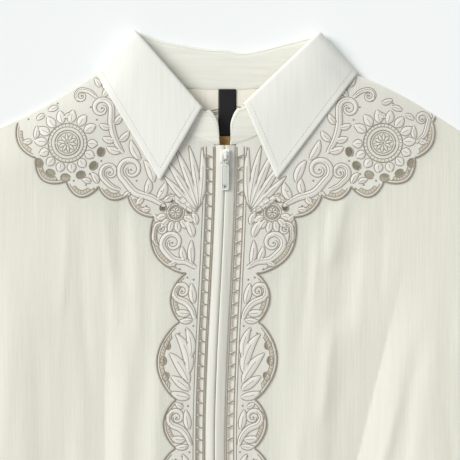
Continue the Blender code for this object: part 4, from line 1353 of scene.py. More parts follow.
    def yoke(self) -> None:
        """The yoke: the large rosette, the palmette under the collar, vines, scrolls and leaves."""
        big, small = CUT.petals
        self.rosette(big.out, big.y, 12.0, 10)
        self.ring(big.out, big.y, 15.4, width=self.fine_width)
        self.ring(big.out, big.y, 18.6)
        for k in range(30):
            a = math.radians(12.0 * k)
            way = np.array([math.cos(a), math.sin(a)])
            middle = np.array([big.out, big.y])
            self.cord(np.array([middle + way * r for r in (15.6, 17.0, 18.4)]), self.thin_width)
        self.petal_ring(big.out, big.y, 19.2, 9.8, 8.0, big.start - 13.0, big.turn, big.count + 1)
        self.petal_ring(big.out, big.y, 19.2, 13.0, 8.2, 4.0, 24.0, 7, 20.0)
        for k in range(big.count - 1):
            a = math.radians(big.start + (k + 0.5) * big.turn)
            self.knots.append((big.out + 36.5 * math.cos(a), big.y + 36.5 * math.sin(a)))
        self.rosette(small.out, small.y, 6.6, 7)
        self.ring(small.out, small.y, 8.6, width=self.fine_width)
        self.petal_ring(small.out, small.y, 9.0, 11.0, 6.4, 205.0, 27.0, 6, -18.0)
        for k, length in enumerate((57.0, 61.0, 63.0, 58.0, 48.0, 34.0)):
            self.leaves.append(Leaf(23.6 + 0.4 * k, -113.0 - 1.2 * k, length, 6.6, 92.0 - 11.5 * k,
                                    -16.0 + 4.0 * k))
        self.leaves += YOKE_LEAVES
        self.volutes += YOKE_VOLUTES
        self.knots += [(60.0, -98.0), (84.0, -88.0), (74.0, -112.0), (96.0, -104.0), (124.0, -96.0),
                       (122.0, -30.0), (128.0, -18.0), (140.0, -12.0), (36.0, -132.0), (40.0, -172.0),
                       (132.0, -92.0), (160.0, -14.0), (196.0, -12.0), (199.0, -22.0), (176.0, -74.0)]

    def placket(self) -> None:
        """The placket: a fan of long leaves in each long lobe, a volute and leaves in each short one."""
        corners = CUT.placket_corners()
        deepest = max(swell for _, swell in CUT.placket_lobes)
        for above, below in zip(corners[:-1], corners[1:]):
            long = below.swell == deepest
            self.leaves += [replace(leaf, y=leaf.y + below.y)
                            for leaf in (LONG_LOBE_LEAVES if long else SHORT_LOBE_LEAVES)]
            if long:
                self.knots += [(31.0, below.y + 66.0), (37.0, below.y + 63.0), (24.0, above.y - 4.0)]
            else:
                v = SHORT_LOBE_VOLUTE
                self.volutes.append(Volute(tuple((o, y + below.y) for o, y in v.tail),
                                           (v.centre[0], v.centre[1] + below.y), v.turn, v.width))
                self.knots += [(26.0, above.y - 6.0), (32.0, above.y - 4.0)]

    def trimmed(self) -> list[tuple[Array, float, float]]:
        """The cords as plan paths of even steps, cut off at the cutwork's and the panel's edges.

        Returns:
            Each run's points, width and lift.
        """
        panel, edge = CUT.front_outline(self.side), CUT.cutwork_outline(self.side)
        runs = []
        for path, width, trim, lift in self.cords:
            plan = resampled(CUT.plan(self.side, path), self.step)
            keep = inside(plan, panel)
            if trim:
                keep &= inside(plan, edge)
            breaks = np.nonzero(np.diff(np.concatenate([[0], keep.astype(int), [0]])))[0]
            runs += [(plan[a:b], width, lift) for a, b in zip(breaks[::2], breaks[1::2]) if b - a > 2]
        return runs

    def lay_cords(self, pile: Pile, rise: float = 0.52) -> None:
        """Carries a half ellipse along each path, on the height of the cutwork, thinner at its ends.

        Args:
            pile: What the surfaces are added to.
            rise: The height of a cord for its width.
        """
        runs = self.trimmed()
        every = np.vstack([path for path, _, _ in runs])
        heights = CUT.front_top(self.side, every[:, 0], every[:, 1]) + CUT.proud
        turn = np.radians(np.linspace(0.0, 180.0, 5))
        first = 0
        for path, width, lift in runs:
            z = heights[first:first + len(path)] + lift
            first += len(path)
            run = np.arange(len(path)) * self.step
            swell = np.clip((np.minimum(run, run[::-1]) / (0.8 * width) + 0.35), 0.35, 1.0)
            xy = spread(path, (swell * width / 2)[:, None] * np.cos(turn)[None])
            up = z[:, None] - self.cord_sink + (swell * width * rise)[:, None] * np.sin(turn)[None]
            pile.add(*strip(xy, up, run[:, None], width * turn[None] / 2))

    def lay_bands(self, pile: Pile) -> None:
        """Lays each band of painted shade as a slightly raised strip.

        Args:
            pile: What the surfaces are added to.
        """
        panel = CUT.front_outline(self.side)
        for path, width in self.bands:
            plan = resampled(CUT.plan(self.side, path), self.step)
            plan = plan[inside(plan, panel)]
            if len(plan) < 4:
                continue
            s = np.linspace(-1.0, 1.0, 5)
            z = CUT.front_top(self.side, plan[:, 0], plan[:, 1]) + CUT.proud
            up = z[:, None] - self.satin_sink + self.band_rise * (1 - s**4)[None]
            run = np.arange(len(plan)) * self.step
            points, quads, flat = strip(spread(plan, (s * width / 2)[None]), up, run[:, None],
                                        s[None] * width / 2)
            pile.add(points, quads[:, ::-1], flat)

    def lay_blade(self, pile: Pile, spine: Array, half: Array) -> None:
        """Lays a satin dome along a spine: it rises as the root of 1 - s² across, less where it is thin.

        Args:
            pile: What the surfaces are added to.
            spine: The blade's middle line in the panel.
            half: Half its width at each point.
        """
        plan = CUT.plan(self.side, spine)
        s = np.linspace(-1.0, 1.0, 7)
        wide = half[:, None] * s[None]
        xy = spread(plan, wide)
        z = CUT.front_top(self.side, xy[..., 0].ravel(), xy[..., 1].ravel()).reshape(wide.shape)
        full = np.clip(half / 2.0, 0.0, 1.0)[:, None]
        up = z + CUT.proud - self.satin_sink + self.dome * full * np.sqrt(1 - s[None] ** 2 * 0.999)
        run = np.concatenate([[0.0], np.cumsum(np.linalg.norm(np.diff(plan, axis=0), axis=1))])
        points, quads, flat = strip(xy, up, run[:, None] + np.abs(wide) * 0.6, wide)
        pile.add(points, quads[:, ::-1], flat)

    def blades(self) -> list[tuple[Array, Array]]:
        """The leaves and volutes that lie on the cutwork; adds the cords that outline and vein them.

        Returns:
            Each one's spine and half widths.
        """
        found = []
        for leaf in self.leaves:
            t = np.linspace(0.0, 1.0, 14)
            heading = np.radians(leaf.heading + leaf.bend * (t - 0.5))
            way = np.stack([np.cos(heading), np.sin(heading)], axis=1) * leaf.length / (len(t) - 1)
            spine = np.array([leaf.out, leaf.y]) + np.cumsum(way, axis=0) - way[0]
            half = 0.5 * leaf.width * np.sin(math.pi * np.clip(t, 0, 1) ** 0.85) ** 0.8
            found.append((spine, half, spine[1:10] if leaf.veined else None))
        for volute in self.volutes:
            spine = volute.spine()
            t = np.linspace(0.0, 1.0, len(spine))
            half = 0.5 * volute.width * (0.25 + 0.75 * np.sin(math.pi * t**0.8) ** 0.7) * (1 - 0.5 * t)
            line = spine + sideways(spine) * half[:, None] * 0.25
            found.append((spine, half, line[3:len(spine) * 2 // 3]))
            self.knots.append(volute.centre)
        panel, edge = CUT.front_outline(self.side), CUT.cutwork_outline(self.side)
        kept = []
        for spine, half, vein in found:
            plan = CUT.plan(self.side, spine)
            if not (inside(plan, panel) & inside(plan, edge)).all():
                continue
            kept.append((spine, half))
            across = sideways(spine) * (half + 0.35)[:, None]
            self.cord(spine + across, self.fine_width)
            self.cord(spine - across, self.fine_width)
            if vein is not None:
                self.cord(vein, self.vein_width, lift=self.dome * 0.8)
        return kept

    def lay_knots(self, pile: Pile, radius: float = 1.0) -> None:
        """Lays each knot as a bead: a half sphere pressed flat, with a dimple on top.

        Args:
            pile: What the surfaces are added to.
            radius: A knot's radius.
        """
        plan = CUT.plan(self.side, np.array(self.knots))
        for edge in (CUT.front_outline(self.side), CUT.cutwork_outline(self.side)):
            plan = plan[inside(plan, edge)]
        z = CUT.front_top(self.side, plan[:, 0], plan[:, 1]) + CUT.proud
        rise = np.radians([0.0, 30.0, 62.0, 80.0])
        around = 10
        turn = np.linspace(0.0, 2 * math.pi, around, endpoint=False)
        ring = np.stack(np.broadcast_arrays(
            radius * np.cos(rise)[:, None] * np.cos(turn), radius * np.cos(rise)[:, None] * np.sin(turn),
            0.75 * radius * np.sin(rise)[:, None] + 0 * turn), axis=-1)
        for (x, y), height in zip(plan, z):
            bead = ring + np.array([x, y, height - self.cord_sink])
            pile.add(bead, grid_quads(len(rise), around, around=True))
            top = bead[-1]
            middle = top.mean(axis=0) - (0.0, 0.0, 0.12)
            k = np.arange(around)
            pile.add(np.vstack([top, middle]),
                     np.stack([k, (k + 1) % around, np.full(around, around)], axis=1))

    def build(self) -> list[bpy.types.Object]:
        """Works all the motifs and makes the side's cords, satin leaves, bands of painted shade and knots.

        Returns:
            The four pieces.
        """
        self.edge()
        self.ladder()
        self.rims()
        self.yoke()
        self.placket()
        satin, shaded, cords, knots = Pile(), Pile(), Pile(), Pile()
        for spine, half in self.blades():
            self.lay_blade(satin, spine, half)
        self.lay_bands(shaded)
        self.lay_cords(cords)
        self.lay_knots(knots)
        made = []
        for pile, name, finish in ((cords, "cords", Finish.CORD), (satin, "satin_leaves", Finish.SATIN),
                                   (shaded, "shaded_bands", Finish.SHADED), (knots, "knots", Finish.CORD)):
            made.append(pile.make(f"{name}_{self.label}", finish, "embroidered_cloth"))
        return made


@dataclass
class Fronts:
    """The two plain fronts and the cutwork set into them, with its embroidery."""

    spacing: float = 3.0
    ground_spacing: float = 3.2
    hem_depth: float = 18.0
    crease_reach: tuple[float, ...] = (-7.0, -4.6, -2.8, -1.4, 0.0, 1.4, 2.8, 4.6, 7.0)

    def crease_points(self, side: NeckSide) -> Array:
        """Rows of points along the side's creased fold, so that its bend stays crisp.

        Args:
            side: The side.

        Returns:
            The plan points.
        """
        fold = next(f for f in MAIN_FOLDS if f.creased and f.x_top * side.sign > 0)
        t = np.linspace(0.02, 1.0, 150)
        x = fold.x_top + (fold.x_bottom - fold.x_top) * t
        y = fold.y_top + (fold.y_bottom - fold.y_top) * t
        return np.vstack([np.stack([x + d, y], axis=1) for d in self.crease_reach])

    def hem(self, side: NeckSide, label: str, height: Height) -> list[bpy.types.Object]:
        """The hem's turning, round the edge and back inside, and its row of stitches.

        Args:
            side: The side.
            label: The side's name.
            height: The height of the front.

        Returns:
            The turning and the stitches.
        """
        near = CUT.zip_half + 1.0 + side.sign * float(CUT.zip_x(CUT.hem_y))
        x = np.linspace(near, CUT.hem_side_x - 3.0, 110)
        x = np.sort(x * side.sign)
        turn = np.array([(0.0, 0.0), (-0.45, -0.2), (-0.6, -0.6), (-0.45, -1.0), (0.0, -1.2),
                         (self.hem_depth / 2, -1.2), (self.hem_depth, -1.2)])
        y = CUT.hem_y + turn[:, :1] + 0 * x
        z = height(x, np.full(len(x), CUT.hem_y)) + turn[:, 1:]
        turned = np.stack([x + 0 * y, y, z], axis=-1), grid_quads(len(turn), len(x))[:, ::-1]
        line = np.full(len(x), CUT.hem_y + self.hem_depth)
        row = stitches(np.stack([x, line, height(x, line)], axis=1), np.tile((0.0, 0.0, 1.0), (len(x), 1)))
        return [make_piece(turned, f"hem_turning_{label}", Finish.FRONT, "ivory_cotton"),
                make_piece(row, f"hem_stitches_{label}", Finish.SEWING, "ivory_cotton")]

    def build(self) -> None:
        """Both sides: the front, its cutwork ground and the embroidery on it."""
        for label, side in SIDES.items():

            def height(x: Array, y: Array, side: NeckSide = side) -> Array:
                """The front's outer surface."""
                return CUT.front_top(side, x, y)

            def raised(x: Array, y: Array, side: NeckSide = side) -> Array:
                """The cutwork's surface, a little above the front's."""
                return CUT.front_top(side, x, y) + CUT.proud

            outline, edge = CUT.front_outline(side), CUT.cutwork_outline(side)
            front = cloth_cut(outline, height, self.spacing, windows=[edge], extra=self.crease_points(side))
            cloth = make_piece(front, f"front_{label}_cloth", Finish.FRONT, "ivory_cotton", f"front_{label}")
            gaps = [*CUT.ladder_gaps(side), *CUT.eyelets(side)]
            ground = cloth_cut(edge, raised, self.ground_spacing, windows=gaps, keep_in=[outline])
            cutwork = make_piece(ground, f"cutwork_{label}_ground", Finish.GROUND, "embroidered_cloth",
                                 f"cutwork_{label}")
            sewn_on = [*Embroidery(side, label).build(), *self.hem(side, label, height)]
            declare_sheet(cloth, outline, [cutwork, *sewn_on])


@dataclass
class Back:
    """The back panel, flat on the surface and up over the fall near the neck, with its closed seams."""

    spacing: float = 7.0
    seam_out: float = 0.7

    def outline(self) -> Array:
        """The back's edge: neckline, shoulders, armholes, sides and hem.

        Returns:
            The closed edge in plan.
        """
        halves = []
        for side in (RIGHT, LEFT):
            x = np.linspace(0, side.neck_point[0], 24)
            edge = np.vstack([np.stack([x, CUT.back_neck_y(side, x)], axis=1), CUT.shoulder(side, 8)[1:],
                              CUT.armhole(np.linspace(0, 1, 24))[1:], [(CUT.hem_side_x, CUT.hem_y)]])
            halves.append(edge * (side.sign, 1.0))
        return np.vstack([halves[0], halves[1][:0:-1]])

    def seam(self, side: NeckSide, line: Array) -> tuple[Array, Array]:
        """The cloth that turns over a closed edge, a half circle from the back up to the front.

        Args:
            side: The side.
            line: The closed edge, given as on the right.

        Returns:
            The points and the quads.
        """
        path = resampled(line * (side.sign, 1.0), 4.0)
        out = sideways(path) * side.sign
        lift = CUT.back_lift(path[:, 0], path[:, 1])
        turn = np.radians(np.linspace(-90, 90, 7))
        low, high = 0.1, CUT.closed_edge_height
        grid = np.empty((len(turn), len(path), 3))
        for row, a in enumerate(turn):
            grid[row, :, :2] = path + out * self.seam_out * math.cos(a)
            grid[row, :, 2] = lift + low + (high - low) * (0.5 + 0.5 * math.sin(a))
        faces = grid_quads(len(turn), len(path))
        return grid.reshape(-1, 3), facing(faces[:, ::-1], side)

    def build(self) -> None:
        """The sheet and the four closed seams as one piece."""
        back = Pile()
        outline = self.outline()
        back.add(*cloth_cut(outline, lambda x, y: CUT.back_lift(x, y) + CUT.wall, self.spacing))
        for side in SIDES.values():
            for line in CUT.closed_edges(side):
                back.add(*self.seam(side, line))
        piece = back.make("back_cloth", Finish.BACK, "ivory_cotton", "back")
        declare_sheet(piece, outline, [self.inner_arc()])

    def inner_arc(self) -> bpy.types.Object:
        """What shows of the back's embroidery from inside: an arch of three cords, cut by the label.

        Returns:
            The piece.
        """
        arc = Pile()
        turn = np.radians(np.linspace(0.0, 180.0, 5))
        for drop in (0.0, 2.4, 4.2):
            for points in (((-24.0, -31.0), (-17.0, -24.0), (-11.0, -20.6), (-5.6, -19.4)),
                           ((11.9, -16.6), (15.0, -17.6), (20.0, -20.6), (26.0, -26.0))):
                path = resampled(curve(points) - (0.0, drop), 1.2)
                top = CUT.back_lift(path[:, 0], path[:, 1]) + CUT.wall
                up = top[:, None] + 0.5 * np.sin(turn)[None]
                run = np.arange(len(path))[:, None] * 1.2
                arc.add(*strip(spread(path, (0.6 * np.cos(turn))[None]), up, run, turn[None]))
        return arc.make("inner_arc", Finish.CORD, "ivory_cotton")


@dataclass(frozen=True)
class Crease:
    """A soft ridge or trough of a sleeve, in shares across and along it."""

    across_start: float
    across_end: float
    along_start: float
    along_end: float
    lift: float
    width: float


@dataclass
class Sleeves:
    """The two sleeves, flattened tubes with a hemmed end, the left one the mirror image of the right."""

    cuff_outer: Point = (576.0, -378.0)
    cuff_inner: Point = (507.0, -456.0)
    outer_handles: tuple[Point, Point] = ((330.0, -98.0), (470.0, -262.0))
    inner_handles: tuple[Point, Point] = ((315.0, -318.0), (420.0, -392.0))
    height: float = 14.0
    cuff_height: float = 10.0
    taper_from: float = 0.45
    arch_power: float = 0.55
    armhole_blend: float = 0.16
    rows: int = 110
    columns: int = 84
    hem: float = 18.0
    creases: tuple[Crease, ...] = (
        Crease(0.30, 0.46, 0.02, 0.62, 2.6, 0.070), Crease(0.62, 0.52, 0.05, 0.95, -2.2, 0.060),
        Crease(0.82, 0.66, 0.00, 0.50, 2.2, 0.060), Crease(0.22, 0.30, 0.45, 0.98, 1.8, 0.060),
        Crease(0.16, 0.36, 0.04, 0.40, -1.2, 0.035), Crease(0.44, 0.60, 0.10, 0.55, 1.0, 0.030),
        Crease(0.72, 0.58, 0.12, 0.60, 0.9, 0.028), Crease(0.50, 0.40, 0.55, 0.99, -1.0, 0.035),
        Crease(0.70, 0.76, 0.50, 0.98, 1.1, 0.035), Crease(0.88, 0.78, 0.10, 0.42, -0.9, 0.030),
        Crease(0.38, 0.30, 0.62, 0.99, 0.8, 0.025), Crease(0.60, 0.64, 0.70, 0.99, 0.8, 0.022))

    def plan(self, along: Array, across: Array) -> Array:
        """A place in plan, blended between the four edges: the sum of both ruled ways less the corners.

        Args:
            along: Shares from the armhole to the cuff.
            across: Shares from the outer to the inner edge.

        Returns:
            The plan points.
        """
        outer = bezier(CUT.shoulder_tip, self.outer_handles, self.cuff_outer, along)
        inner = bezier(CUT.underarm, self.inner_handles, self.cuff_inner, along)
        top = CUT.armhole(across)
        a, b = along[:, None], across[:, None]
        tip, underarm, cuff_outer, cuff_inner = (
            np.array(p) for p in (CUT.shoulder_tip, CUT.underarm, self.cuff_outer, self.cuff_inner))
        end = cuff_outer + (cuff_inner - cuff_outer) * b
        ruled, crossed = outer + (inner - outer) * b, top + (end - top) * a
        corners = (1 - a) * ((1 - b) * tip + b * underarm) + a * ((1 - b) * cuff_outer + b * cuff_inner)
        return ruled + crossed - corners

    def top(self, side: NeckSide, along: Array, across: Array) -> Array:
        """The height of the upper side: an arch across it, with the creases, from the front's height.

        Args:
            side: The side.
            along: Shares from the armhole to the cuff.
            across: Shares from the outer to the inner edge.

        Returns:
            The heights.
        """
        armhole = CUT.armhole(across)
        start = CUT.front_top(side, side.sign * armhole[:, 0], armhole[:, 1])
        taper = smooth((along - self.taper_from) / (1 - self.taper_from))
        full = self.height + (self.cuff_height - self.height) * taper
        low = CUT.closed_edge_height
        arch = np.sin(math.pi * np.clip(across, 0, 1)) ** self.arch_power
        height = low + (full - low) * arch
        for c in self.creases:
            t = (along - c.along_start) / (c.along_end - c.along_start)
            centre = c.across_start + (c.across_end - c.across_start) * np.clip(t, 0, 1)
            strength = smooth(t / 0.3) * smooth((1.0 - t) / 0.3)
            height = height + c.lift * np.exp(-(((across - centre) / c.width) ** 2)) * strength * arch
        return start + (height - start) * smooth(along / self.armhole_blend)

    def ring(self, side: NeckSide, along: float, inset: float) -> Array:
        """One closed ring round the tube, moved in by inset all round.

        Args:
            side: The side.
            along: The ring's share of the way to the cuff.
            inset: How far it is moved in.

        Returns:
            The ring's points.
        """
        upper = 0.5 - 0.5 * np.cos(np.linspace(0.0, math.pi, self.columns))
        lower = upper[::-6]
        across = np.concatenate([upper, lower])
        spot = self.plan(np.full(len(across), along), across)
        top = self.top(side, np.full(len(upper), along), upper)
        z = np.concatenate([top - inset, np.full(len(lower), 0.1 + inset)])
        z = np.maximum(z, 0.1)
        middle = spot.mean(axis=0)
        spot = spot + unit(middle - spot) * inset
        return np.column_stack([spot[:, 0] * side.sign, spot[:, 1], z])

    def build(self) -> None:
        """Each sleeve: the tube, the rounded end and the hem turned back inside it."""
        for label, side in SIDES.items():
            alongs = np.linspace(0.0, 1.0, self.rows)
            length = float(np.hypot(*(np.array(self.cuff_outer) - CUT.shoulder_tip)))
            turned = [(1.0 + 0.4 / length, 0.35), (1.0 + 0.4 / length, 0.9), (1.0, 1.2),
                      (1.0 - 0.5 * self.hem / length, 1.2), (1.0 - self.hem / length, 1.2)]
            rings = [self.ring(side, a, 0.0) for a in alongs] + [self.ring(side, a, i) for a, i in turned]
            grid = np.array(rings)
            faces = grid_quads(grid.shape[0], grid.shape[1], around=True)
            finish = Finish.SLEEVE_LEFT if side is LEFT else Finish.SLEEVE_RIGHT
            piece = make_piece((grid, facing(faces, side)), f"sleeve_{label}_cloth", finish, "ivory_cotton",
                               f"sleeve_{label}")
            width = 2 * float(np.hypot(*(np.array(CUT.underarm) - CUT.shoulder_tip)))
            cuff = 2 * float(np.hypot(*(np.array(self.cuff_inner) - self.cuff_outer)))
            declare_sheet(piece, rectangle(width, length), area=(width + cuff) / 2 * length)


@dataclass(frozen=True)
class Station:
    """One place of the collar: its seam, roll and outer edge, and the way from the stand to the fall."""

    along: float
    roll_along: float
    roll_z: float
    edge_z: float | None
    facing: float


@dataclass
class Collar:
    """The stand round the flattened neck and the fall over it, with its topstitching."""

    front_stations: tuple[Station, ...] = (
        Station(0.44, 0.0, 15.0, None, 90), Station(0.66, 0.38, 15.3, None, 90),
        Station(0.87, 0.75, 14.9, None, 87), Station(0.96, 0.92, 13.4, None, 74),
        Station(0.988, 0.975, 11.6, 7.3, 48))
    fold_station: Station = Station(1.0, 1.0, 8.6, 4.1, 0)
    back_stations: tuple[Station, ...] = (
        Station(0.015, 0.018, 6.4, 1.25, -48), Station(0.055, 0.06, 5.1, 0.8, -76),
        Station(0.3, 0.3, 4.6, 0.8, -90), Station(0.76, 0.76, 4.6, 0.8, -90),
        Station(1.0, 1.0, 4.6, 0.8, -90))
    stand_top_handles: tuple[Point, Point] = ((12.0, -21.0), (4.6, -28.0))
    stand_end_steps: int = 4
    stand_sink: float = 0.4
    stand_end_rise: float = 1.4
    stand_front_rise: float = 2.0
    stand_wall: float = 1.4
    back_roll_dip: float = 38.2
    back_roll_dent: tuple[float, float, float] = (20.0, 3.6, 13.0)
    back_fall_y: float = -9.0
    fall_turn: float = 1.9
    fall_lip: float = 0.35
    fall_rest: float = 1.7
    fall_puff: float = 2.0
    fall_wall: float = 1.6
    stitch_inset: float = 6.0
    stand_inset: float = 2.6
    seam_inset: float = 1.8
    top_row_points: int = 56
    facing_column: int = 8
    leaf_from_row: int = 10
    edge_rows: int = 3

    def height_at(self, side: NeckSide, point: Array) -> float:
        """The front's outer surface at one place given on the right side."""
        return float(CUT.front_top(side, np.array([side.sign * point[0]]), np.array([point[1]]), False)[0])

    def stations(self, side: NeckSide) -> list[list[Array]]:
        """For one side: rows of (seam, roll, outer edge, way to the fall), from the front to the back.

        Args:
            side: The side.

        Returns:
            The rows, given as on the right.
        """
        corner = np.array(side.roll_corner)
        along_roll = corner - np.array(side.fall_front)
        along_edge = np.array(side.fall_corner) - np.array(side.fall_point)
        side_way = np.array([math.cos(math.radians(40)), math.sin(math.radians(40)), 0.0])
        back_seam_z = float(CUT.back_lift(np.array(0.0), np.array(0.0))) + CUT.wall / 2
        rows = []
        for s in (*self.front_stations, self.fold_station):
            seam = CUT.front_neck(side, s.along)[0]
            seam_z = self.height_at(side, seam) - self.stand_sink if s.along < 1 else back_seam_z + 1.0
            roll = np.array(side.fall_front) + along_roll * s.roll_along
            edge = np.array(side.fall_point) + along_edge * s.roll_along
            edge_z = s.edge_z or self.height_at(side, edge) + CUT.proud + self.fall_rest
            rows.append((s, seam, seam_z, roll, edge, edge_z))
        dent_x, depth, width = self.back_roll_dent
        for s in self.back_stations:
            x = side.neck_point[0] * (1.0 - s.along)
            seam = np.array([x, float(CUT.back_neck_y(side, np.array(x)))])
            edge_x = side.fall_corner[0] * (1.0 - s.along)
            rise = (side.fall_corner[1] - self.back_fall_y) * (edge_x / side.fall_corner[0]) ** 3
            roll_x = side.roll_corner[0] * (1.0 - s.roll_along)
            roll_y = self.back_roll_dip + (side.roll_corner[1] - self.back_roll_dip) * (
                roll_x / side.roll_corner[0]) ** 2
            roll_y -= depth * math.exp(-(((side.sign * roll_x - dent_x) / width) ** 2))
            rows.append((s, seam, back_seam_z, np.array([roll_x, roll_y]),
                         np.array([edge_x, self.back_fall_y + rise]), s.edge_z))
        found = []
        for s, seam, seam_z, roll, edge, edge_z in rows:
            turn = math.radians(s.facing)
            way = side_way * math.cos(turn) + np.array([0.0, 0.0, math.sin(turn)])
            found.append([np.array([*seam, seam_z]), np.array([*roll, s.roll_z]),
                          np.array([*edge, edge_z]), way])
        return found

    def whole(self) -> list[Array]:
        """The stations of both sides in one run, from the left front round the back to the right.

        Returns:
            All the seams, rolls, outer edges and ways.
        """
        rows = []
        for side in (LEFT, RIGHT):
            flip = np.array([side.sign, 1.0, 1.0])
            half = [[point * flip for point in row] for row in self.stations(side)]
            rows += half if side is LEFT else half[::-1][1:]
        return [np.array([row[i] for row in rows]) for i in range(4)]

    def roll_start(self, seam: Array, roll: Array, way: Array) -> tuple[Array, Array, Array]:
        """Where the roll begins on top of the stand, the direction out of the stand and the way.

        Args:
            seam: Points of the seam.
            roll: Points of the roll.
            way: The ways to the fall.

        Returns:
            The starts, the directions and the ways.
        """
        way = unit(way)
        out = roll - seam
        out = unit(out - way * np.sum(out * way, axis=-1, keepdims=True))
        return roll - out * (self.fall_turn + self.fall_wall / 2), out, way

    def stand_ends(self, side: NeckSide) -> list[tuple[Array, Array]]:
        """The rounded front end of the stand: rows of (seam, top), from the zip outwards.

        Args:
            side: The side.

        Returns:
            The rows.
        """
        shares = np.linspace(0, 1, self.stand_end_steps, endpoint=False)
        corner = (side.stand_end[0], side.stand_end[1] + 8.0)
        tops = bezier(side.fall_front, self.stand_top_handles, corner, 1.0 - shares)
        first = side.stand_end[0] / (3 * CUT.front_neck_handles[0][0])
        last = self.front_stations[0].along
        rows = []
        for share, top in zip(shares, tops):
            seam = CUT.front_neck(side, first + (last - first) * share)[0]
            seam_z = self.height_at(side, seam) - self.stand_sink
            rise = self.stand_end_rise if share == 0 else self.stand_front_rise + 0.4 * share
            rows.append((np.array([side.sign * seam[0], seam[1], seam_z]),
                         np.array([side.sign * top[0], top[1], seam_z + rise])))
        return rows

    def stand_grid(self, columns: int = 300, rows: int = 14) -> Array:
        """The stand's middle surface: from the seam to its top, bulging a little between them.

        Args:
            columns: How many points each row has.
            rows: How many rows.

        Returns:
            The rows of points, seam first.
        """
        seams, rolls, _, ways = self.whole()
        start, out, _ = self.roll_start(seams, rolls, ways)
        tops = start - out * (CUT.seam_gap + self.fall_lip)
        left, right = self.stand_ends(LEFT), self.stand_ends(RIGHT)
        seams = np.array([*[s for s, _ in left], *seams, *[s for s, _ in right[::-1]]])
        tops = np.array([*[t for _, t in left], *tops, *[t for _, t in right[::-1]]])
        at = np.linspace(0.0, 1.0, columns)
        low, high = through(seams, at), through(tops, at)
        v = np.linspace(0.0, 1.0, rows)[:, None, None]
        grid = low[None] + (high - low)[None] * v
        bulge = 0.5 * np.sin(math.pi * v) * grid_normals(grid)
        return grid + bulge * np.sign(bulge[..., 2:3] + 1e-6)

    def fall_grid(self, columns: int = 340, rows: int = 40) -> Array:
        """The fall's middle surface: a half circle over the stand, then down to its outer edge.

        Args:
            columns: How many points each row has.
            rows: How many rows lie below the roll.

        Returns:
            The rows of points, roll first.
        """
        at = np.linspace(0.0, 1.0, columns)
        seams, rolls, edges, ways = (through(rows_, at) for rows_ in self.whole())
        start, out, way = self.roll_start(seams, rolls, ways)
        turns = np.radians(np.linspace(0.0, 180.0, 9))[:-1]
        grid = [start + self.fall_turn * (out * math.sin(a) + way * (1 - math.cos(a))) for a in turns]
        start = start + way * 2 * self.fall_turn
        for share in np.linspace(0.0, 1.0, rows):
            puff = self.fall_puff * np.maximum(way[:, 2], 0.0) * math.sin(math.pi * share) * (1 - share)
            row = start + (edges - start) * share
            row[:, 2] += puff
            grid.append(row)
        return np.array(grid)

    def build(self) -> None:
        """The stand, the fall and the topstitching."""
        grid = self.stand_grid()
        piece = make_piece(walled(grid, self.stand_wall), "collar_stand_cloth", Finish.STAND, "ivory_cotton",
                           "collar_stand")
        rows = Pile()
        end = self.top_row_points
        for line in (self.inset_line(grid, self.seam_inset),
                     self.inset_line(grid[::-1, :end], self.stand_inset),
                     self.inset_line(grid[::-1, -end:], self.stand_inset)):
            rows.add(*stitches(*self.lifted(grid, line, self.stand_wall)))
        seams = rows.make("stand_stitches", Finish.SEWING, "ivory_cotton")
        declare_sheet(piece, self.flat_size(grid), [seams],
                      self.grid_area(grid))
        grid = self.fall_grid()
        piece = make_piece(walled(grid, self.fall_wall), "fall_cloth", Finish.COLLAR, "ivory_cotton",
                           "collar_fall")
        rows, leaf, inset = Pile(), grid[self.leaf_from_row:], self.stitch_inset
        ends = [int(np.searchsorted(np.cumsum(np.linalg.norm(np.diff(edge, axis=0), axis=1)), inset)) + 1
                for edge in (leaf[-1], leaf[-1, ::-1])]
        for line in (self.inset_line(grid[::-1, ends[0]:-ends[1]], inset),
                     self.inset_line(leaf[:-self.edge_rows].swapaxes(0, 1), inset),
                     self.inset_line(leaf[:-self.edge_rows, ::-1].swapaxes(0, 1), inset)):
            rows.add(*stitches(*self.lifted(grid, line, self.fall_wall)))
        seams = rows.make("fall_stitches", Finish.SEWING, "ivory_cotton")
        declare_sheet(piece, self.flat_size(grid), [seams],
                      self.grid_area(grid))

    def inset_line(self, grid: Array, inset: float) -> Array:
        """The line that lies inset from a grid's first row, measured down each column."""
        run = np.vstack([np.zeros(grid.shape[1]),
                         np.cumsum(np.linalg.norm(np.diff(grid, axis=0), axis=-1), axis=0)])
        return np.array([[np.interp(inset, run[:, c], grid[:, c, k]) for k in range(3)]
                         for c in range(grid.shape[1])])

    def lifted(self, grid: Array, line: Array, wall: float) -> tuple[Array, Array]:
        """A line on a grid moved out onto the side that faces up at the front, and its normals.

        Args:
            grid: Rows of points.
            line: Points on the grid.
            wall: The wall's thickness.

        Returns:
            The moved points and their normals.
        """
        normal = grid_normals(grid)
        normal = normal * np.sign(normal[len(grid) // 2, self.facing_column, 2])
        flat = grid.reshape(-1, 3)
        nearest = np.array([int(np.argmin(((flat - p) ** 2).sum(axis=1))) for p in line])
        found = normal.reshape(-1, 3)[nearest]
        return line + found * wall / 2, found

    def grid_area(self, grid: Array) -> float:
        """The area of a grid of points, the sum of its cells' cross products."""
        along, across = np.diff(grid, axis=1)[:-1], np.diff(grid, axis=0)[:, :-1]
        return float(np.linalg.norm(np.cross(along, across), axis=-1).sum())

    def flat_size(self, grid: Array) -> Array:
        """The rectangle that a band was cut from: its mean run along, and its widest across.

        Args:
            grid: Rows of points.

        Returns:
            The rectangle's corners.
        """
        along = np.linalg.norm(np.diff(grid, axis=1), axis=-1).sum(axis=1).max()
        across = np.linalg.norm(np.diff(grid, axis=0), axis=-1).sum(axis=0).max()
        return rectangle(float(along), float(across))


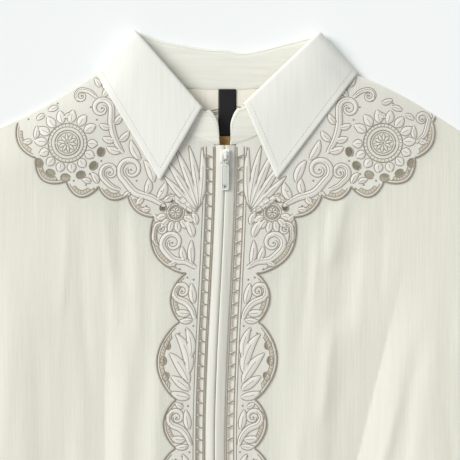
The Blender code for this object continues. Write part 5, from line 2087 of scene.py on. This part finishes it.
@dataclass
class Zip:
    """The covered zip: two folded edges, the slider with its pull tab, the tape and the teeth above it."""

    sink: float = 0.4
    roll: float = 1.7
    reading_x: float = 12.0
    rows: int = 160
    tape_out: tuple[float, float] = (9.2, 19.6)
    tape_depth: float = 1.5
    groove: tuple[float, float, float] = (-3.2, -2.0, -0.8)
    tucked: float = -1.4
    end_depth: float = 4.4
    end_half: float = 5.2
    end_y: tuple[float, float] = (-61.0, -45.6)
    teeth_y: tuple[float, float] = (-59.0, -47.0)
    tooth_pitch: float = 1.1
    tooth: tuple[float, float, float] = (1.6, 0.42, 0.75)
    hinge: tuple[float, float, float] = (0.99, -64.0, 18.45)
    pull_tilt: float = 5.4
    tab_face: float = 0.58
    tab_bevel: float = 0.22
    rim_loop: tuple[float, ...] = (3.1, -9.2, -32.8, 1.7)
    rim_half: float = 0.5
    rim_rise: float = 0.36
    window_loop: tuple[float, ...] = (2.2, -10.4, -27.6, 1.2)
    window_rise: float = 0.12

    def base(self, side: NeckSide, y: Array) -> Array:
        """The height of the front beside the zip."""
        return CUT.front_top(side, np.full(len(y), side.sign * self.reading_x), y, False)

    def edge_grid(self, side: NeckSide) -> Array:
        """One folded edge: up out of the groove, over a hump and down under the cutwork.

        Args:
            side: The side.

        Returns:
            The rows of points, hem first.
        """
        y = np.linspace(CUT.hem_y, CUT.zip_top_y, self.rows)
        share = np.linspace(0.0, 1.0, 18)
        gap, half = CUT.seam_gap / 2, CUT.zip_half
        out = np.concatenate([[gap, gap * 0.6, gap * 0.8], gap + (half - gap) * share, [half + 0.5]])
        lean = share ** (0.6 if side.sign < 0 else 0.4)
        hump = self.roll * np.abs(np.sin(math.pi * lean)) ** 0.8
        rise = np.concatenate([self.groove, hump, [self.tucked]])
        x = CUT.zip_x(y)[:, None] + side.sign * out[None, :]
        z = self.base(side, y)[:, None] - self.sink + rise[None, :]
        return np.stack([x, np.repeat(y[:, None], len(out), axis=1), z], axis=-1)

    def backing(self, side: NeckSide, label: str) -> None:
        """The zip's woven tape, which lies behind the ladder's openings.

        Args:
            side: The side.
            label: The side's name.
        """
        y = np.linspace(CUT.hem_y + 1.0, CUT.zip_top_y - 1.0, self.rows)
        out = np.linspace(self.tape_out[0], self.tape_out[1], 5)
        x = CUT.zip_x(y)[:, None] + side.sign * out[None, :]
        z = np.repeat((self.base(side, y) - self.tape_depth)[:, None], len(out), axis=1)
        grid = np.stack([x, np.repeat(y[:, None], len(out), axis=1), z], axis=-1)
        piece = make_piece((grid, facing(grid_quads(*x.shape), side)), f"zip_backing_{label}", Finish.TAPE,
                           "ivory_cotton")
        declare_sheet(piece, rectangle(out[-1] - out[0], y[-1] - y[0]))

    def top_end(self) -> None:
        """What shows above the slider, deep between the edges: the tape's tan end and small brass teeth."""
        z = float(self.base(RIGHT, np.array([-54.0]))[0]) - self.end_depth
        x = np.linspace(-self.end_half, self.end_half, 7)
        y = np.linspace(*self.end_y, 10)
        gx, gy = np.meshgrid(x, y)
        end = np.stack([gx + CUT.zip_top_x, gy, z - 0.02 * gx**2], axis=-1), grid_quads(*gx.shape)
        tape, teeth = make_piece(end, "zip_tape_end", Finish.TAPE_END, "ivory_cotton"), Pile()
        turn = np.radians(np.linspace(0.0, 180.0, 5))
        length = np.array([-1.0, -0.8, 0.0, 0.8, 1.0])
        swell = np.array([0.4, 0.9, 1.0, 0.9, 0.4])[:, None]
        half, deep, high = self.tooth
        for k, at in enumerate(np.arange(*self.teeth_y, self.tooth_pitch)):
            middle = CUT.zip_top_x + (0.9 if k % 2 else -0.9)
            grid = np.stack([middle + half * length[:, None] + 0 * turn, at + deep * swell * np.cos(turn),
                             z + high * swell * np.sin(turn) - 0.05], axis=-1)
            teeth.add(grid, grid_quads(len(length), len(turn))[:, ::-1])
        declare_sheet(tape, rectangle(x[-1] - x[0], y[-1] - y[0]),
                      [teeth.make("zip_teeth", Finish.BRASS, "zip_metal")])

    def hinge_points(self, flat: Array) -> Array:
        """Points in the pull tab's own plane, turned by its tilt and moved to its hinge.

        Args:
            flat: Points whose hinge is at 0, 0, 0.

        Returns:
            The points in the pattern.
        """
        tilt = math.radians(self.pull_tilt)
        x, y, z = np.moveaxis(np.asarray(flat, float), -1, 0)
        return np.stack([x, y * math.cos(tilt) - z * math.sin(tilt), y * math.sin(tilt) + z * math.cos(tilt)],
                        axis=-1) + self.hinge

    def tab_loop(self, half: float, top: float, bottom: float, radius: float) -> Array:
        """A rounded rectangle in the pull tab's plane.

        Args:
            half: Half its width.
            top: Its top.
            bottom: Its bottom.
            radius: Its corners' radius.

        Returns:
            The loop's points.
        """
        turn = np.radians(np.arange(0.0, 360.0, 15.0) + 7.5)
        way = np.stack([np.cos(turn), np.sin(turn)], axis=1)
        middle = np.array([0.0, (top + bottom) / 2])
        reach = np.array([half - radius, (top - bottom) / 2 - radius])
        return middle + np.sign(way) * reach + way * radius

    def pull_tab(self, solid: bpy.types.Object) -> None:
        """The pull tab: the solid with rounded edges, a raised rim round its face, and a smoky window.

        Args:
            solid: The CAD pull, which is copied.
        """
        shell = bmesh.new()
        shell.from_mesh(solid.data)
        shell.transform(solid.matrix_world)
        bmesh.ops.remove_doubles(shell, verts=shell.verts, dist=1e-6)
        bmesh.ops.dissolve_limit(shell, angle_limit=0.02, verts=shell.verts, edges=shell.edges)
        sharp = [edge for edge in shell.edges if edge.is_manifold and edge.calc_face_angle() > 0.9]
        bmesh.ops.bevel(shell, geom=sharp, offset=self.tab_bevel * MM, segments=3, profile=0.5,
                        affect="EDGES")
        bmesh.ops.triangulate(shell, faces=[face for face in shell.faces if len(face.verts) > 4])
        # The bevel leaves its faces in another order each run, so they are put in order of their corners.
        shell.verts.index_update()
        shell.faces.sort(key=lambda face: sum(
            number * len(shell.verts)**-k for k, number in enumerate(sorted(v.index for v in face.verts))))
        mesh = bpy.data.meshes.new("pull_tab")
        shell.to_mesh(mesh)
        shell.free()
        mesh.shade_smooth()
        mesh.set_sharp_from_angle(angle=math.radians(50))
        mesh.materials.append(Finish.CLEAR.get())
        tab = bpy.data.objects.new("pull_tab", mesh)
        bpy.context.scene.collection.objects.link(tab)
        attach(tab, "pull")
        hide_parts("zip_pull")

        turn = np.radians(np.linspace(0.0, 180.0, 5))[:, None, None]
        loop = self.tab_loop(*self.rim_loop)
        middle = np.array([0.0, -21.0])
        outward = unit(loop - np.clip(loop, middle - (1.2, 9.0), middle + (1.2, 9.0)))
        plan = loop + outward * self.rim_half * np.cos(turn)
        height = self.tab_face + self.rim_rise * np.sin(turn) + 0 * plan[..., :1]
        rim = (self.hinge_points(np.concatenate([plan, height], axis=-1)),
               grid_quads(len(turn), len(loop), around=True)[:, ::-1])
        make_piece(rim, "pull_rim", Finish.LACQUER, "clear_pull", body="pull")
        loop = self.tab_loop(*self.window_loop)
        spine = np.column_stack([0 * loop[:, 0], np.clip(loop[:, 1], -25.6, -12.4)])
        share = np.array([1.0, 0.96, 0.7, 0.35, 0.0])[:, None, None]
        plan = spine + (loop - spine) * share
        height = self.tab_face + self.window_rise * np.sqrt(1 - share**2) + 0 * plan[..., :1]
        window = (self.hinge_points(np.concatenate([plan, height], axis=-1)),
                  grid_quads(len(share), len(loop), around=True))
        make_piece(window, "pull_window", Finish.WINDOW, "clear_pull", body="pull")

    def build(self, nodes: dict) -> None:
        """The folded edges, the tape behind them, its end, the slider's lacquer and the pull tab.

        Args:
            nodes: The frame's nodes by name.
        """
        self.top_end()
        for place in nodes["zip_slider"].material_slots:
            place.material = Finish.LACQUER.get()
        self.pull_tab(nodes["zip_pull"])
        for label, side in SIDES.items():
            self.backing(side, label)
            grid = self.edge_grid(side)
            piece = make_piece((grid, facing(grid_quads(*grid.shape[:2]), side)), f"zip_edge_{label}",
                               Finish.ZIP_EDGE, "ivory_cotton", f"zip_tape_{label}")
            width = float(np.linalg.norm(np.diff(grid[0], axis=0), axis=-1).sum())
            declare_sheet(piece, rectangle(width, CUT.zip_top_y - CUT.hem_y))


@dataclass
class NeckLabel:
    """The bare black label, a woven tape that lies down from the back neck seam."""

    width: float = 16.2
    length: float = 50.0
    x: float = 3.1
    wall: float = 0.9
    top_rise: float = 0.5
    top_run: float = 6.0
    rows: int = 40

    def build(self) -> None:
        """A thin strip with rounded sides that lies over the inside of the back."""
        y = np.linspace(-0.6, -self.length, self.rows)
        x = self.x + self.width * np.linspace(-0.5, 0.5, 12)
        gx, gy = np.meshgrid(x, y)
        z = CUT.back_lift(np.zeros_like(gy), gy) + CUT.wall + CUT.seam_gap + self.wall / 2
        z = z + self.top_rise * np.exp(gy / self.top_run)
        tape = walled(np.stack([gx, gy, z], axis=-1), self.wall)
        piece = make_piece(tape, "label_tape", Finish.LABEL, "label_satin", "neck_label")
        declare_sheet(piece, rectangle(self.width, self.length))


def build_stage() -> None:
    """The pale floor, the soft lights and the camera straight above."""
    mesh = bpy.data.meshes.new("floor")
    far = 3.0
    mesh.from_pydata([(-far, -far, 0), (far, -far, 0), (far, far, 0), (-far, far, 0)], [], [(0, 1, 2, 3)])
    mesh.materials.append(Finish.PAPER.get())
    floor = bpy.data.objects.new("floor", mesh)
    bpy.context.scene.collection.objects.link(floor)

    world = bpy.data.worlds.new("studio")
    bpy.context.scene.world = world
    world.use_nodes = True
    world.node_tree.nodes["Background"].inputs["Color"].default_value = (0.96, 0.98, 1.0, 1.0)
    world.node_tree.nodes["Background"].inputs["Strength"].default_value = 0.48
    lamp = bpy.data.lights.new("window", "SUN")
    lamp.energy = 2.8
    lamp.angle = math.radians(32)
    lamp.color = (1.0, 0.992, 0.975)
    window = bpy.data.objects.new("window", lamp)
    window.rotation_euler = Vector((1.15, -0.62, -0.95)).to_track_quat("-Z", "Y").to_euler()
    bpy.context.scene.collection.objects.link(window)

    data = bpy.data.cameras.new("camera")
    sensor, distance, seen = 36.0, 1.6, 0.437  # millimetres, then metres up to the shirt and across it
    data.sensor_width = sensor
    data.lens = sensor * distance / seen
    camera = bpy.data.objects.new("camera", data)
    camera.location = (0.0057, 0.1311, 1.615)
    bpy.context.scene.collection.objects.link(camera)
    bpy.context.scene.camera = camera
    bpy.context.scene.view_settings.view_transform = "Standard"


def main() -> None:
    """Builds the shirt's pieces in order around the frame."""
    logging.basicConfig(level=logging.INFO, format="%(message)s")
    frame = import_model()
    build_stage()
    Back().build()
    Sleeves().build()
    Fronts().build()
    Collar().build()
    Zip().build(frame["nodes"])
    NeckLabel().build()


if __name__ == "__main__":
    main()
